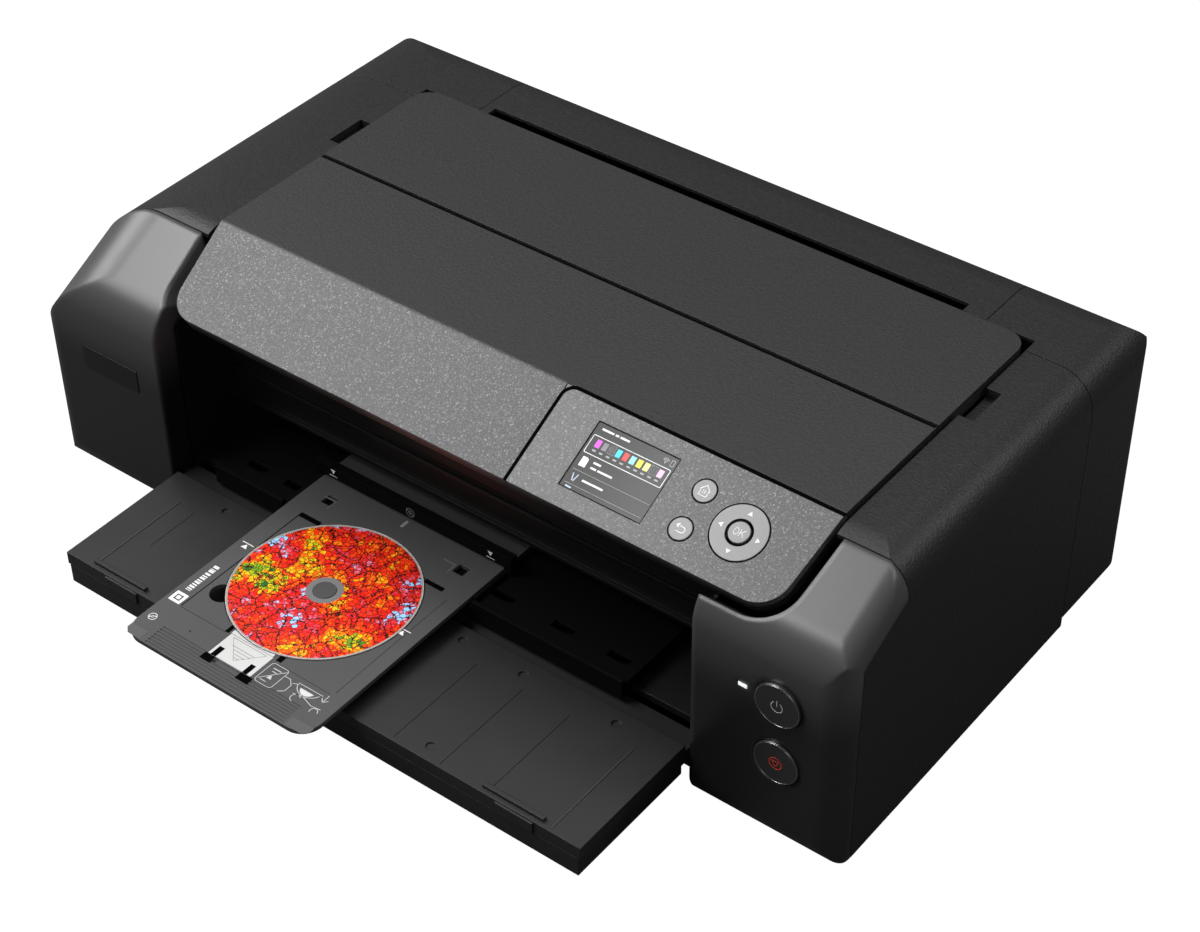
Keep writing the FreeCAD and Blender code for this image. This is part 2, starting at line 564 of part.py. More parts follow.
feed_region = block("feed_region", ("feed_left", "feed_right"),
                    ("cover_opening_rear + seam", "body_depth + 1"),
                    ("feed_bottom", "body_height + 1"))
feed_slot = block("feed_slot", ("slot_left", "slot_right"),
                  ("cover_opening_rear", "cover_opening_rear + seam + slot_width"),
                  ("cover_top / 2", "body_height + 1"))
feed_lugs = []
for side, inner_x, pin_x in (("left", "feed_left", "feed_left - seam - shell"),
                             ("right", "feed_right - feed_lug_width",
                              "feed_right - feed_lug_width")):
    feed_lugs.append(block("feed_lug_" + side, (inner_x, inner_x + " + feed_lug_width"),
                           ("body_depth - shell - feed_lug_reach", "body_depth - shell / 2"),
                           ("feed_hinge_z - 3", "feed_hinge_z + 6")))
    feed_lugs.append(rod("feed_pin_" + side, ALONG_X, pin_x, "body_depth - feed_hinge_setback",
                         "feed_hinge_z", "feed_hinge_r", "feed_lug_width + seam + shell"))
node(fused("manual_feed_body",
           cut("manual_feed_skin", shared("manual_feed_wrap", casing_shell, feed_region),
               feed_slot),
           *feed_lugs), "manual_feed_cover")

pan_x = ("side_left + floor_rim + seam", "side_right - floor_rim - seam")
pan_depth = ("pan_front", "body_depth - floor_rim - seam")
pan_top = "floor_z + fit_gap + pan_wall"
pan_plate = block("pan_plate", pan_x, pan_depth, ("foot_height", pan_top))
pan_well = block("pan_well", (pan_x[0] + " + pan_wall", pan_x[1] + " - pan_wall"),
                 (pan_depth[0] + " + pan_wall", pan_depth[1] + " - pan_wall"),
                 ("foot_height + pan_wall", "floor_z + 20"))
flange_depth = ("pan_front", "body_depth - flange_back")
flange_z = ("floor_z + fit_gap", pan_top)
pan_flanges = [
    block("pan_flange_left", (pan_x[0] + " - pan_flange", pan_x[0] + " + pan_wall"),
          flange_depth, flange_z),
    block("pan_flange_right", (pan_x[1] + " - pan_wall", pan_x[1] + " + pan_flange"),
          flange_depth, flange_z),
]
foot_spots = [(x, depth) for x in ("side_left + foot_inset", "side_right - foot_inset")
              for depth in ("pan_front + foot_rear_inset",
                            "body_depth - floor_rim - foot_rear_inset")]
sockets = [rod("foot_socket_%d" % index, ALONG_Z, x, depth, "foot_height - 1",
               "foot_r + run_gap", "1 + foot_socket")
           for index, (x, depth) in enumerate(foot_spots)]
screw_pitch = "(body_depth - floor_rim - seam - pan_front - screw_margin * 2) / (screw_count - 1)"
screw_spots = [(x, "pan_front + screw_margin + %d * %s" % (index, screw_pitch))
               for x in (pan_x[0] + " - pan_flange / 2", pan_x[1] + " + pan_flange / 2")
               for index in range(int(value("screw_count")))]
screw_holes = [rod("screw_hole_%d" % index, ALONG_Z, x, depth, "floor_z", "screw_shank_r + run_gap",
                   "pan_wall * 2") for index, (x, depth) in enumerate(screw_spots)]
node(cut("base_pan_cut",
         fused("base_pan_body", cut("pan_hollow", pan_plate, pan_well), *pan_flanges),
         *(sockets + screw_holes)), "base_pan")
node(fused("feet_group", *[rod("foot_%d" % index, ALONG_Z, x, depth, "0", "foot_r",
                               "foot_height + foot_socket - run_gap")
                           for index, (x, depth) in enumerate(foot_spots)]), "rubber_feet")

# ---------------------------------------------------------------- lid and operation panel

lid_wedge = side_prism(
    "lid_wedge", ("lid_left", "lid_right"),
    (("slope_top", "body_height"), ("lid_rear", "body_height"),
     ("lid_rear", "body_height - lid_depth"),
     ("slope_top + lid_depth * slope_sin", "body_height - lid_depth"),
     ("slope_top + lid_depth * slope_sin", "body_height - lid_depth * slope_cos")))
lid_slope = shared("lid_slope", slope_plate("lid_slope_plate", "0", "0", "lid_depth", "lid_corner"),
                   slope_block("lid_slope_area", ("lid_left - 1", "lid_right + 1"),
                               ("0", "slope_length + 1"), ("-lid_depth - 1", "1")))
lid_solid = rounded("lid_solid", fused("lid_sharp", lid_wedge, lid_slope), "bend_soft",
                    lambda e: runs(e, ALONG_X) and near(e, ALONG_Z, "body_height")
                    and near(e, ALONG_Y, "front + slope_top"))
lid_room = block("lid_room", ("lid_left + lid_skin", "lid_right - lid_skin"),
                 ("slope_top + lid_depth", "lid_rear + 1"),
                 ("body_height - lid_depth - 1", "body_height - lid_skin"))
slope_room = slope_block(
    "slope_room", ("lid_left + lid_taper + lid_corner", "panel_left - lid_skin"),
    ("lid_skin", "slope_length - lid_skin * 2"), ("-lid_depth - 1", "-lid_skin"))
panel_seat = slope_block(
    "panel_seat", ("panel_left - seam", "lid_right + 1"),
    ("-seam", "slope_length + lid_taper"), ("-panel_thickness - fit_gap", "lid_depth"))
lid_knuckles = []
lid_bores = []
for side, middle in (("left", "hinge_left_x"), ("right", "hinge_right_x")):
    start = "%s - knuckle_width / 2" % middle
    lid_knuckles.append(block("lid_knuckle_" + side, (start, start + " + knuckle_width"),
                              ("lid_pivot - knuckle_r", "lid_pivot + knuckle_r"),
                              ("body_height - lid_pivot_drop - knuckle_r",
                               "body_height - lid_skin / 2")))
    lid_bores.append(rod("lid_bore_" + side, ALONG_X, start + " - 1", "lid_pivot",
                         "body_height - lid_pivot_drop", "hinge_pin_r + run_gap",
                         "knuckle_width + 2"))
node(cut("lid_bored",
         fused("lid_hollow_body", cut("lid_hollow", lid_solid, lid_room, slope_room, panel_seat),
                            *lid_knuckles), *lid_bores), "access_cover")

panel_blank = shared(
    "panel_blank", slope_plate("panel_plate", "0", "0", "panel_thickness", "panel_corner"),
    slope_block("panel_area", ("panel_left", "lid_right + 1"), ("0", "slope_length + 1"),
                ("-panel_thickness - 1", "1")))
screen_x = ("screen_x - screen_width / 2", "screen_x + screen_width / 2")
screen_down = ("screen_down - screen_height / 2", "screen_down + screen_height / 2")


def grown(limits, by):
    return ("(%s) - (%s)" % (limits[0], by), "(%s) + (%s)" % (limits[1], by))


keys = (("home_button", "keys_x", "home_down", "small_key_r"),
        ("back_button", "keys_x", "back_down", "small_key_r"))
panel_holes = [
    slope_block("window_hole", grown(screen_x, "run_gap"), grown(screen_down, "run_gap"),
                ("-window_sink - window_thick - run_gap", "1")),
    slope_block("module_hole", grown(screen_x, "run_gap - module_rim"),
                grown(screen_down, "run_gap - module_rim"), ("-panel_thickness - 2", "0")),
    slope_rod("ring_well", "ring_x", "ring_down", "-key_length - key_travel - key_clear",
              "ring_r + ring_gap",
              "key_length * 2"),
]
for label, x, down, radius in keys:
    panel_holes.append(slope_rod(label + "_well", x, down, "-key_length - key_travel - key_clear",
                                 radius + " + fit_gap", "key_length * 2"))
node(cut("panel_cut", panel_blank, *panel_holes), "operation_panel")
node(slope_block("screen_window", screen_x, screen_down,
                 ("-window_sink - window_thick", "-window_sink")), "screen_window")
node(slope_block("screen_module", grown(screen_x, "-module_rim"), grown(screen_down, "-module_rim"),
                 ("-window_sink - window_thick - run_gap - module_thick",
                  "-window_sink - window_thick - run_gap")), "screen_module")


def key(label, x, down, radius, proud):
    """A round key with a softened rim, standing in its well on the slope."""
    blank = slope_rod(label + "_blank", x, down, "%s - key_length" % proud, radius, "key_length")
    top_z = value(slope_z(down, proud))
    return node(rounded(label + "_soft", blank, "key_proud",
                        lambda e: len(e.Vertexes) == 1 and abs(e.CenterOfMass.z - top_z) < 0.2),
                label)


for label, x, down, radius in keys:
    key(label, x, down, radius, "key_proud")
key("ok_button", "ring_x", "ring_down", "ok_r - fit_gap", "key_proud * 2")
ring_blank = slope_rod("ring_blank", "ring_x", "ring_down", "key_proud - key_length / 2", "ring_r",
                       "key_length / 2")
ring_bore = slope_rod("ring_bore", "ring_x", "ring_down", "-key_length", "ring_hole_r",
                      "key_length * 2")
node(cut("ring_cut", ring_blank, ring_bore), "navigation_ring")

# ---------------------------------------------------------------- front buttons


def front_button(label, z, proud):
    """A round push button through the right cheek, with a collar behind the wall."""
    cap = rod(label + "_cap", ALONG_Y, "button_x", "-(%s)" % proud, z, "button_r", "button_length")
    soft = rounded(label + "_soft", cap, "button_proud / 4",
                   lambda e: near(e, ALONG_Y, "front - (%s)" % proud))
    collar = rod(label + "_collar", ALONG_Y, "button_x", "shell + button_travel + fit_gap", z,
                 "button_r + shell / 2", "shell")
    return node(fused(label + "_body", soft, collar), label)


front_button("power_button", "power_z", "button_proud")
front_button("stop_button", "stop_z", "stop_proud")
node(block("lamp_lens", ("lamp_x - lamp_width / 2 + run_gap", "lamp_x + lamp_width / 2 - run_gap"),
           ("-fit_gap / 2", "lamp_length"),
           ("lamp_z - lamp_height / 2 + run_gap", "lamp_z + lamp_height / 2 - run_gap")),
     "power_lamp")
node(block("bare_plate", ("plate_x - plate_width / 2", "plate_x + plate_width / 2"),
           ("plate_sink - plate_thick", "plate_sink"),
           ("plate_z - plate_height / 2", "plate_z + plate_height / 2")), "front_plate")

# ---------------------------------------------------------------- rear tray cover

tray_plate = rounded(
    "tray_cover_plate", block("tray_cover_blank", ("lid_left", "lid_right"),
                              ("tray_cover_front", "tray_cover_rear"),
                              ("body_height - lid_depth + 2", "body_height")),
    "tray_cover_corner", lambda e: runs(e, ALONG_Z) and near(e, ALONG_Y, "front + tray_cover_rear"))
tray_room = block("tray_cover_room", ("lid_left + lid_skin", "lid_right - lid_skin"),
                  ("tray_cover_front + lid_skin", "tray_cover_rear - tray_cover_corner"),
                  ("body_height - lid_depth", "body_height - lid_skin"))
tray_pivot = "tray_cover_rear - tray_pivot_setback"
tray_pivot_z = "body_height - tray_pivot_drop"
tray_reliefs = []
tray_bores = []
for side, middle in (("left", "hinge_left_x"), ("right", "hinge_right_x")):
    start = "%s - knuckle_width / 2" % middle
    for part, place in (("low", start + " - ear_width - fit_gap * 2"),
                        ("high", start + " + knuckle_width - fit_gap")):
        tray_reliefs.append(block("tray_relief_%s_%s" % (side, part),
                                  (place, place + " + ear_width + fit_gap * 3"),
                                  (tray_pivot + " - knuckle_r - 2", "tray_cover_rear + 1"),
                                  ("body_height - lid_depth", "body_height - lid_skin / 2")))
    tray_bores.append(rod("tray_bore_" + side, ALONG_X, start + " - knuckle_width", tray_pivot,
                          tray_pivot_z,
                          "tray_hinge_pin_r + run_gap", "knuckle_width * 3"))
node(cut("tray_cover_cut", tray_plate, tray_room, *(tray_reliefs + tray_bores)), "rear_tray_cover")

# ---------------------------------------------------------------- inner walls and frames

pan_floor = "foot_height + pan_wall + fit_gap"


def inner_wall(label, x, ledge_x):
    """A wall beside the paper slot, behind a cheek, with a ledge that carries the exit guide."""
    wall = side_prism(
        label + "_plate", x,
        (("seam_strip + seam", pan_top + " + fit_gap"),
         ("pan_front + pan_wall + fit_gap", pan_top + " + fit_gap"),
         ("pan_front + pan_wall + fit_gap", pan_floor), ("wall_rear", pan_floor),
         ("wall_rear", "wall_top"), ("cheek_seam + seam", "wall_top"),
         ("cheek_seam + seam", "cheek_seam_z - seam"), ("seam_strip + seam", "strip_top - seam")))
    ledge = block(label + "_ledge", ledge_x, ("seam_strip + seam", "wall_rear"),
                  ("ledge_z - ledge_thick", "ledge_z"))
    return node(fused(label + "_body", wall, ledge), label)


inner_wall("left_inner_wall", ("open_left - shell", "open_left"),
           ("open_left - 1", "open_left + ledge_width"))
inner_wall("right_inner_wall", ("open_right", "open_right + shell"),
           ("open_right - ledge_width", "open_right + 1"))
slot_x = ("open_left + fit_gap", "open_right - fit_gap")
beam_ribs = [block("beam_rib_%d" % index, slot_x, ("beam_depth - beam_rib", "beam_depth + 1"),
                   ("beam_low + %d" % high, "beam_low + %d + beam_rib" % high))
             for index, high in enumerate((0, 22, 44))]
node(fused("front_beam_body", block("beam_plate", slot_x, ("beam_depth", "beam_depth + beam_thick"),
                                    ("beam_low", "wall_top")), *beam_ribs), "front_beam")

frame_parts = [block("rail_left", ("frame_left", "frame_left + rail_width"),
                     ("frame_front", "bar_b_depth + bar_width"), ("bar_z", "bar_z + bar_thick")),
               block("rail_right", ("frame_right - rail_width", "frame_right"),
                     ("frame_front", "bar_b_depth + bar_width"), ("bar_z", "bar_z + bar_thick"))]
for part, depth in (("a", "bar_a_depth"), ("b", "bar_b_depth")):
    frame_parts.append(block("bar_" + part, ("frame_left", "frame_right"),
                             (depth, depth + " + bar_width"), ("bar_z", "bar_z + bar_thick")))
frame_bores = []
pins = []
hinges = (("lid", "lid_pivot", "body_height - lid_pivot_drop", "lid_boss_r", "hinge_pin_r",
           "bar_a_depth + bar_width / 2"),
          ("tray", tray_pivot, tray_pivot_z, "tray_boss_r", "tray_hinge_pin_r",
           "bar_b_depth + bar_width / 2"))
for cover, depth, high, boss, pin_r, root_depth in hinges:
    for side, middle in (("left", "hinge_left_x"), ("right", "hinge_right_x")):
        low_x = "%s - knuckle_width / 2 - fit_gap - ear_width" % middle
        high_x = "%s + knuckle_width / 2 + fit_gap" % middle
        for end, place in (("low", low_x), ("high", high_x)):
            name = "%s_%s_%s" % (cover, side, end)
            frame_parts.append(rod("boss_" + name, ALONG_X, place, depth, high, boss, "ear_width"))
            frame_parts.append(block("neck_" + name, (place, place + " + ear_width"),
                                     ("%s - %s" % (depth, boss), "%s + %s" % (depth, boss)),
                                     ("bar_z", high)))
            frame_parts.append(block("root_" + name, (place, place + " + ear_width"),
                                     ("(%s) - (%s)" % (depth, boss), root_depth),
                                     ("bar_z", "bar_z + bar_thick")))
        frame_bores.append(rod("bore_%s_%s" % (cover, side), ALONG_X, low_x + " - 1", depth, high,
                               pin_r + " + run_gap / 2",
                               "knuckle_width + ear_width * 2 + fit_gap * 2 + 2"))
        pins.append(rod("pin_%s_%s" % (cover, side), ALONG_X, low_x, depth, high, pin_r,
                        "knuckle_width + ear_width * 2 + fit_gap * 2"))
node(cut("top_frame_cut", fused("top_frame_body", *frame_parts), *frame_bores), "top_frame")
node(fused("hinge_pin_group", *pins), "hinge_pins")

holes = []
for index, (depth, high, radius) in enumerate((
        ("feed_depth", "feed_z", "feed_shaft_r"), ("eject_depth", "eject_z", "eject_shaft_r"),
        ("guide_depth", "guide_z", "guide_r"), ("feed_depth", "pinch_z", "axle_r"),
        ("eject_depth", "star_z", "axle_r"),
                                               ("feed_motor_depth", "feed_motor_z",
                                                "motor_shaft_r"))):
    holes.append(rod("frame_hole_%d" % index, ALONG_X, "frame_left - 1", depth, high,
                     radius + " + run_gap", "frame_right - frame_left + 2"))
for index, x in enumerate(("drive_x", "idler_x")):
    holes.append(rod("motor_hole_%d" % index, ALONG_Y, x, "frame_back - 1", "pulley_z",
                     "motor_shaft_r + run_gap", "frame_plate + 2"))
node(cut("main_frame_cut", fused(
    "main_frame_body",
    block("frame_rear_plate", ("frame_left", "frame_right"),
          ("frame_back", "frame_back + frame_plate"),
          ("frame_low", "frame_top")),
    block("frame_left_plate", ("frame_left", "frame_left + frame_plate"),
          ("frame_front", "frame_back + frame_plate"), (pan_floor, "frame_top")),
    block("frame_right_plate", ("frame_right - frame_plate", "frame_right"),
          ("frame_front", "frame_back + frame_plate"), (pan_floor, "frame_top"))), *holes),
     "main_frame")
node(rod("guide_rod", ALONG_X, "frame_left - shaft_over", "guide_depth", "guide_z", "guide_r",
         "frame_right - frame_left + shaft_over * 2"), "guide_shaft")

feed_parts = [rod("feed_core", ALONG_X, "frame_left - shaft_over - feed_belt_width - 3",
                  "feed_depth", "feed_z",
                  "feed_shaft_r",
                  "frame_right - frame_left + shaft_over * 2 + feed_belt_width + 3"),
              rod("feed_sleeve", ALONG_X, "roller_left", "feed_depth", "feed_z", "feed_r",
                  "roller_right - roller_left"),
              rod("feed_wheel", ALONG_X, "frame_left - shaft_over - feed_belt_width - 2",
                  "feed_depth", "feed_z",
                  "feed_pulley_r", "feed_belt_width + 2")]
node(fused("feed_roller_body", *feed_parts), "feed_roller")


def spread(name, count, width, depth, high, radius):
    """Wheels spaced evenly along the rollers."""
    pitch = "(roller_right - roller_left - %s) / (%s - 1)" % (width, count)
    return [rod("%s_%d" % (name, index), ALONG_X, "roller_left + %d * %s" % (index, pitch), depth,
                high, radius, width) for index in range(int(value(count)))]


def full_axle(name, depth, high, radius):
    return rod(name, ALONG_X, "frame_left - shaft_over", depth, high, radius,
               "frame_right - frame_left + shaft_over * 2")


node(fused("eject_roller_body", full_axle("eject_core", "eject_depth", "eject_z", "eject_shaft_r"),
           *spread("eject_wheel", "wheel_count", "wheel_width", "eject_depth", "eject_z",
                   "eject_r")),
     "eject_roller")
node(fused("pinch_body", full_axle("pinch_axle", "feed_depth", "pinch_z", "axle_r"),
           *spread("pinch_wheel", "pinch_count", "pinch_width", "feed_depth", "pinch_z",
                   "pinch_r")),
     "pinch_rollers")
node(fused("star_body", full_axle("star_axle", "eject_depth", "star_z", "axle_r"),
           *spread("star_wheel", "star_count", "star_width", "eject_depth", "star_z", "star_r")),
     "star_wheels")
platen_legs = [block("platen_leg_%d" % index, (x, x + " + leg_thick"),
                     ("platen_front", "platen_rear"),
                     (pan_floor, "platen_top - platen_thick / 2"))
               for index,
               x in enumerate(("roller_left", "(roller_left + roller_right - leg_thick) / 2",
                                          "roller_right - leg_thick"))]
node(fused("platen_body", block("platen_deck", ("roller_left", "roller_right"),
                                ("platen_front", "platen_rear"),
                                ("platen_top - platen_thick", "platen_top")), *platen_legs),
     "platen")


def belt_body(name, grow, start, width):
    ends = [rod(name + "_end_%d" % index, ALONG_Y, x, start, "pulley_z", "pulley_r + (%s)" % grow,
                width)
            for index, x in enumerate(("drive_x", "idler_x"))]
    middle = block(name + "_runs", ("drive_x", "idler_x"), (start, "%s + %s" % (start, width)),
                   ("pulley_z - pulley_r - (%s)" % grow, "pulley_z + pulley_r + (%s)" % grow))
    return fused(name, middle, *ends)


belt_start = "pulley_depth + (pulley_width - belt_width) / 2"
node(cut("carriage_belt_loop",
         belt_body("belt_outside", "belt_thick + run_gap", belt_start, "belt_width"),
         belt_body("belt_inside", "run_gap", belt_start + " - 1", "belt_width + 2")),
     "carriage_belt")
node(fused("drive_pulley_body",
           rod("drive_wheel", ALONG_Y, "drive_x", "pulley_depth", "pulley_z", "pulley_r",
               "pulley_width"),
           rod("drive_shaft", ALONG_Y, "drive_x", "pulley_depth", "pulley_z", "motor_shaft_r",
               "frame_back + frame_plate - pulley_depth + 2")), "drive_pulley")
node(fused("idler_pulley_body",
           rod("idler_wheel", ALONG_Y, "idler_x", "pulley_depth", "pulley_z", "pulley_r",
               "pulley_width"),
           rod("idler_shaft", ALONG_Y, "idler_x", "pulley_depth", "pulley_z", "motor_shaft_r",
               "frame_back + frame_plate - pulley_depth + 2")), "idler_pulley")
motor_front = "frame_back + frame_plate + fit_gap"
node(cut("carriage_motor_cut",
         rod("carriage_motor_can", ALONG_Y, "drive_x", motor_front, "pulley_z", "motor_r",
             "motor_length"),
         rod("carriage_motor_bore", ALONG_Y, "drive_x", motor_front + " - 1", "pulley_z",
             "motor_shaft_r + run_gap", "5")), "carriage_motor")

feed_belt_x = "frame_left - shaft_over - feed_belt_width - 1"
node(cut("feed_motor_cut",
         rod("feed_motor_can", ALONG_X, "frame_left + frame_plate + fit_gap", "feed_motor_depth",
             "feed_motor_z", "feed_motor_r", "feed_motor_length"),
         rod("feed_motor_bore", ALONG_X, "frame_left", "feed_motor_depth", "feed_motor_z",
             "motor_shaft_r + run_gap", "frame_plate + 5")), "feed_motor")
node(fused("feed_motor_pulley_body",
           rod("feed_motor_wheel", ALONG_X, feed_belt_x, "feed_motor_depth", "feed_motor_z",
               "feed_motor_pulley_r", "feed_belt_width"),
           rod("feed_motor_shaft", ALONG_X, feed_belt_x, "feed_motor_depth", "feed_motor_z",
               "motor_shaft_r", "shaft_over + feed_belt_width + 1 + frame_plate")),
     "feed_motor_pulley")


def slanted_belt(name, grow, start, width):
    """Two rounds and the quadrilateral between their outermost points, across the belt's line."""
    run = "sqrt((feed_depth - feed_motor_depth)^2 + (feed_z - feed_motor_z)^2)"
    across_depth = "(feed_z - feed_motor_z) / %s" % run
    across_z = "(feed_depth - feed_motor_depth) / %s" % run
    big = "(feed_pulley_r + (%s))" % grow
    small = "(feed_motor_pulley_r + (%s))" % grow
    web = side_prism(name + "_web", (start, "%s + %s" % (start, width)), (
        ("feed_motor_depth - %s * %s" % (small, across_depth),
         "feed_motor_z + %s * %s" % (small, across_z)),
        ("feed_motor_depth + %s * %s" % (small, across_depth),
         "feed_motor_z - %s * %s" % (small, across_z)),
        ("feed_depth + %s * %s" % (big, across_depth), "feed_z - %s * %s" % (big, across_z)),
        ("feed_depth - %s * %s" % (big, across_depth), "feed_z + %s * %s" % (big, across_z))))
    return fused(name, web,
                 rod(name + "_big", ALONG_X, start, "feed_depth", "feed_z", big, width),
                 rod(name + "_small", ALONG_X, start, "feed_motor_depth", "feed_motor_z", small,
                     width))


node(cut("feed_belt_loop",
         slanted_belt("feed_belt_outside", "belt_thick + fit_gap", feed_belt_x, "feed_belt_width"),
         slanted_belt("feed_belt_inside", "fit_gap", feed_belt_x + " - 1", "feed_belt_width + 2")),
     "feed_belt")

# ---------------------------------------------------------------- carriage

carriage_x = ("park_x - carriage_width / 2", "park_x + carriage_width / 2")
carriage_tub = cut(
    "carriage_tub",
    block("carriage_blank", carriage_x, ("carriage_front", "carriage_rear"),
          ("carriage_low", "carriage_high")),
    block("carriage_pocket", grown(carriage_x, "-carriage_wall + run_gap"),
          ("carriage_front + carriage_wall", "carriage_rear - carriage_wall"),
          ("tank_low - fit_gap", "carriage_high + 1")))
carriage_lug = block("carriage_lug", ("park_x - lug_width / 2", "park_x + lug_width / 2"),
                     ("carriage_rear - 1", "lug_rear"), ("lug_low", "lug_high"))
belt_clamp = block("belt_clamp", ("park_x - clamp_width / 2", "park_x + clamp_width / 2"),
                   ("carriage_rear", "pulley_depth + pulley_width / 2 + 2"),
                   ("lug_high - 3", "pulley_z - pulley_r - belt_thick - run_gap - fit_gap"))
carriage_bore = rod("carriage_bore", ALONG_X, "park_x - lug_width", "guide_depth", "guide_z",
                    "guide_r + run_gap", "lug_width * 2")
node(cut("carriage_cut", fused("carriage_body", carriage_tub, carriage_lug, belt_clamp),
         carriage_bore),
     "print_carriage")
node(block("head_block", ("head_left", "head_right"), ("head_front", "head_rear"),
           ("head_low", "carriage_low - fit_gap / 2")), "print_head")
tank_pitch = "(carriage_width - carriage_wall * 2) / tank_count"
tanks = []
for index in range(int(value("tank_count"))):
    x = "park_x - carriage_width / 2 + carriage_wall + %d * (%s)" % (index, tank_pitch)
    tank_x = (x + " + tank_gap / 2", x + " + (%s) - tank_gap / 2" % tank_pitch)
    tanks.append(cut("tank_%d" % index,
                     block("tank_blank_%d" % index, tank_x, ("tank_front", "tank_rear"),
                           ("tank_low", "tank_high")),
                     block("tank_step_%d" % index, (tank_x[0] + " - 1", tank_x[1] + " + 1"),
                           ("tank_front - 1", "tank_front + tank_step"),
                           ("tank_high - tank_step_drop", "tank_high + 1"))))
node(fused("tank_group", *tanks), "ink_tanks")

# ---------------------------------------------------------------- supplies and electronics

cap_body = block("cap_box", ("cap_left", "cap_right"), ("cap_front", "cap_rear"),
                 (pan_floor, "cap_high"))
cap_well = block("cap_well", ("cap_left + cap_inset", "cap_right - cap_inset"),
                 ("cap_front + cap_inset", "cap_rear - cap_inset"),
                 ("cap_high - cap_lip", "cap_high + 1"))
node(cut("capping_cut", cap_body, cap_well), "capping_unit")
node(rounded("waste_soft",
             block("waste_box", ("waste_left", "waste_right"), ("box_front", "waste_rear"),
                                 (pan_floor, "waste_high")), "leg_thick",
             lambda e: runs(e, ALONG_Z)),
     "maintenance_cartridge")
node(rounded("supply_soft",
             block("supply_box", ("supply_left", "supply_right"), ("box_front", "box_rear"),
                                  (pan_floor, "supply_high")), "leg_thick",
             lambda e: runs(e, ALONG_Z)),
     "power_supply")
chips = [block("chip_%d" % index, ("board_x - chip_thick", "board_x + board_thick / 2"),
               ("board_front + %s" % depth, "board_front + %s + chip" % depth),
               ("board_low + %s" % high, "board_low + %s + chip" % high))
         for index, (depth, high) in enumerate(((20, 15), (60, 50), (105, 20), (110, 60)))]
posts = [rod("standoff_%d" % index, ALONG_X, "board_x + board_thick / 2", depth, high, "standoff_r",
             "frame_left - board_x - board_thick / 2 - fit_gap")
         for index, (depth, high) in enumerate((("frame_front + 8", "board_low + 8"),
                                                ("board_rear - 8", "board_low + 8"),
                                                ("frame_front + 8", "board_high - 8"),
                                                ("board_rear - 8", "board_high - 8")))]
node(fused("main_board_body", block("board_plate", ("board_x", "board_x + board_thick"),
                                    ("board_front", "board_rear"), ("board_low", "board_high")),
           *(chips + posts)), "main_board")
node(cut("power_inlet_cut",
         block("inlet_body", ("inlet_x - inlet_width / 2", "inlet_x + inlet_width / 2"),
               ("body_depth - inlet_depth", "body_depth"),
               ("inlet_z - inlet_height / 2", "inlet_z + inlet_height / 2")),
         block("inlet_socket",
               ("inlet_x - inlet_width / 2 + shell", "inlet_x + inlet_width / 2 - shell"),
               ("body_depth - inlet_depth * 0.6", "body_depth + 1"),
               ("inlet_z - inlet_height / 2 + shell", "inlet_z + inlet_height / 2 - shell"))),
     "power_inlet")
node(cut("interface_ports_cut",
         block("port_body", ("port_x - port_width / 2", "port_x + port_width / 2"),
               ("body_depth - port_depth", "body_depth"),
               ("port_z - port_height / 2", "port_z + port_height / 2")),
         *[block("port_%d" % index, ("port_x + %s" % low, "port_x + %s" % high),
                 ("body_depth - port_depth * 0.7", "body_depth + 1"),
                 ("port_z - port_height / 2 + shell", "port_z + port_height / 2 - shell"))
           for index, (low, high) in enumerate((("-port_width / 2 + shell", "-shell / 2"),
                                                ("shell / 2", "port_width / 2 - shell")))]),
     "interface_ports")
chute = side_prism("chute_plate", ("chute_left", "chute_right"), (
    ("chute_foot", "chute_low"), ("chute_foot + chute_thick", "chute_low"),
    ("chute_head + chute_thick", "chute_high"), ("chute_head", "chute_high")))
node(chute, "rear_paper_chute")
screws = []
for index, (x, depth) in enumerate(screw_spots):
    head = rod("screw_head_%d" % index, ALONG_Z, x, depth, pan_top, "screw_head_r", "screw_head")
    shank = rod("screw_shank_%d" % index, ALONG_Z, x, depth, "floor_z + run_gap", "screw_shank_r",
                "pan_wall + fit_gap")
    screws.append(fused("screw_%d" % index, head, shank))
node(fused("screw_group", *screws), "casing_screws")

# ---------------------------------------------------------------- trays at the front

out_x = ("open_left + out_left", "open_right - out_right")
out_plate = block("out_plate", out_x, ("-out_reach", "0"), ("out_top - out_thick", "out_top"))
out_hollow = block("out_hollow", grown(out_x, "-out_skin"), ("-out_reach + out_skin", "-out_strip"),
                   ("out_top - out_thick - 1", "out_top - out_skin"))
out_strip_bar = block("out_strip_bar", grown(out_x, "-strip_inset"),
                      ("-out_strip", "tray_pin_depth + tray_pin_r + 1"),
                      ("strip_z", "strip_high"))
out_ends = [block("out_end_%d" % index, limits, ("-out_strip", "tray_pin_depth + tray_pin_r + 1"),
                  ("tray_pin_z - tray_pin_r - 1", "strip_high"))
            for index,
            limits in enumerate((("open_left + out_left", "open_left + out_left + strip_inset + 1"),
                                            ("open_right - out_right - strip_inset - 1",
                                             "open_right - out_right")))]
out_pins = [rod("out_pin_left", ALONG_X, "open_left - shell / 2", "tray_pin_depth", "tray_pin_z",
                "tray_pin_r",
                "out_left + shell"),
            rod("out_pin_right", ALONG_X, "open_right - out_right - shell", "tray_pin_depth",
                "tray_pin_z",
                "tray_pin_r", "out_right + shell * 1.5")]
out_lips = [block("out_lip_%d" % index, (x, x + " + lip_width"),
                  ("-out_reach + lip_deep", "-out_reach + lip_deep * 2"),
                  ("out_top - 1", "out_top + lip_high"))
            for index, x in enumerate(("open_left + 27", "open_right - 75"))]
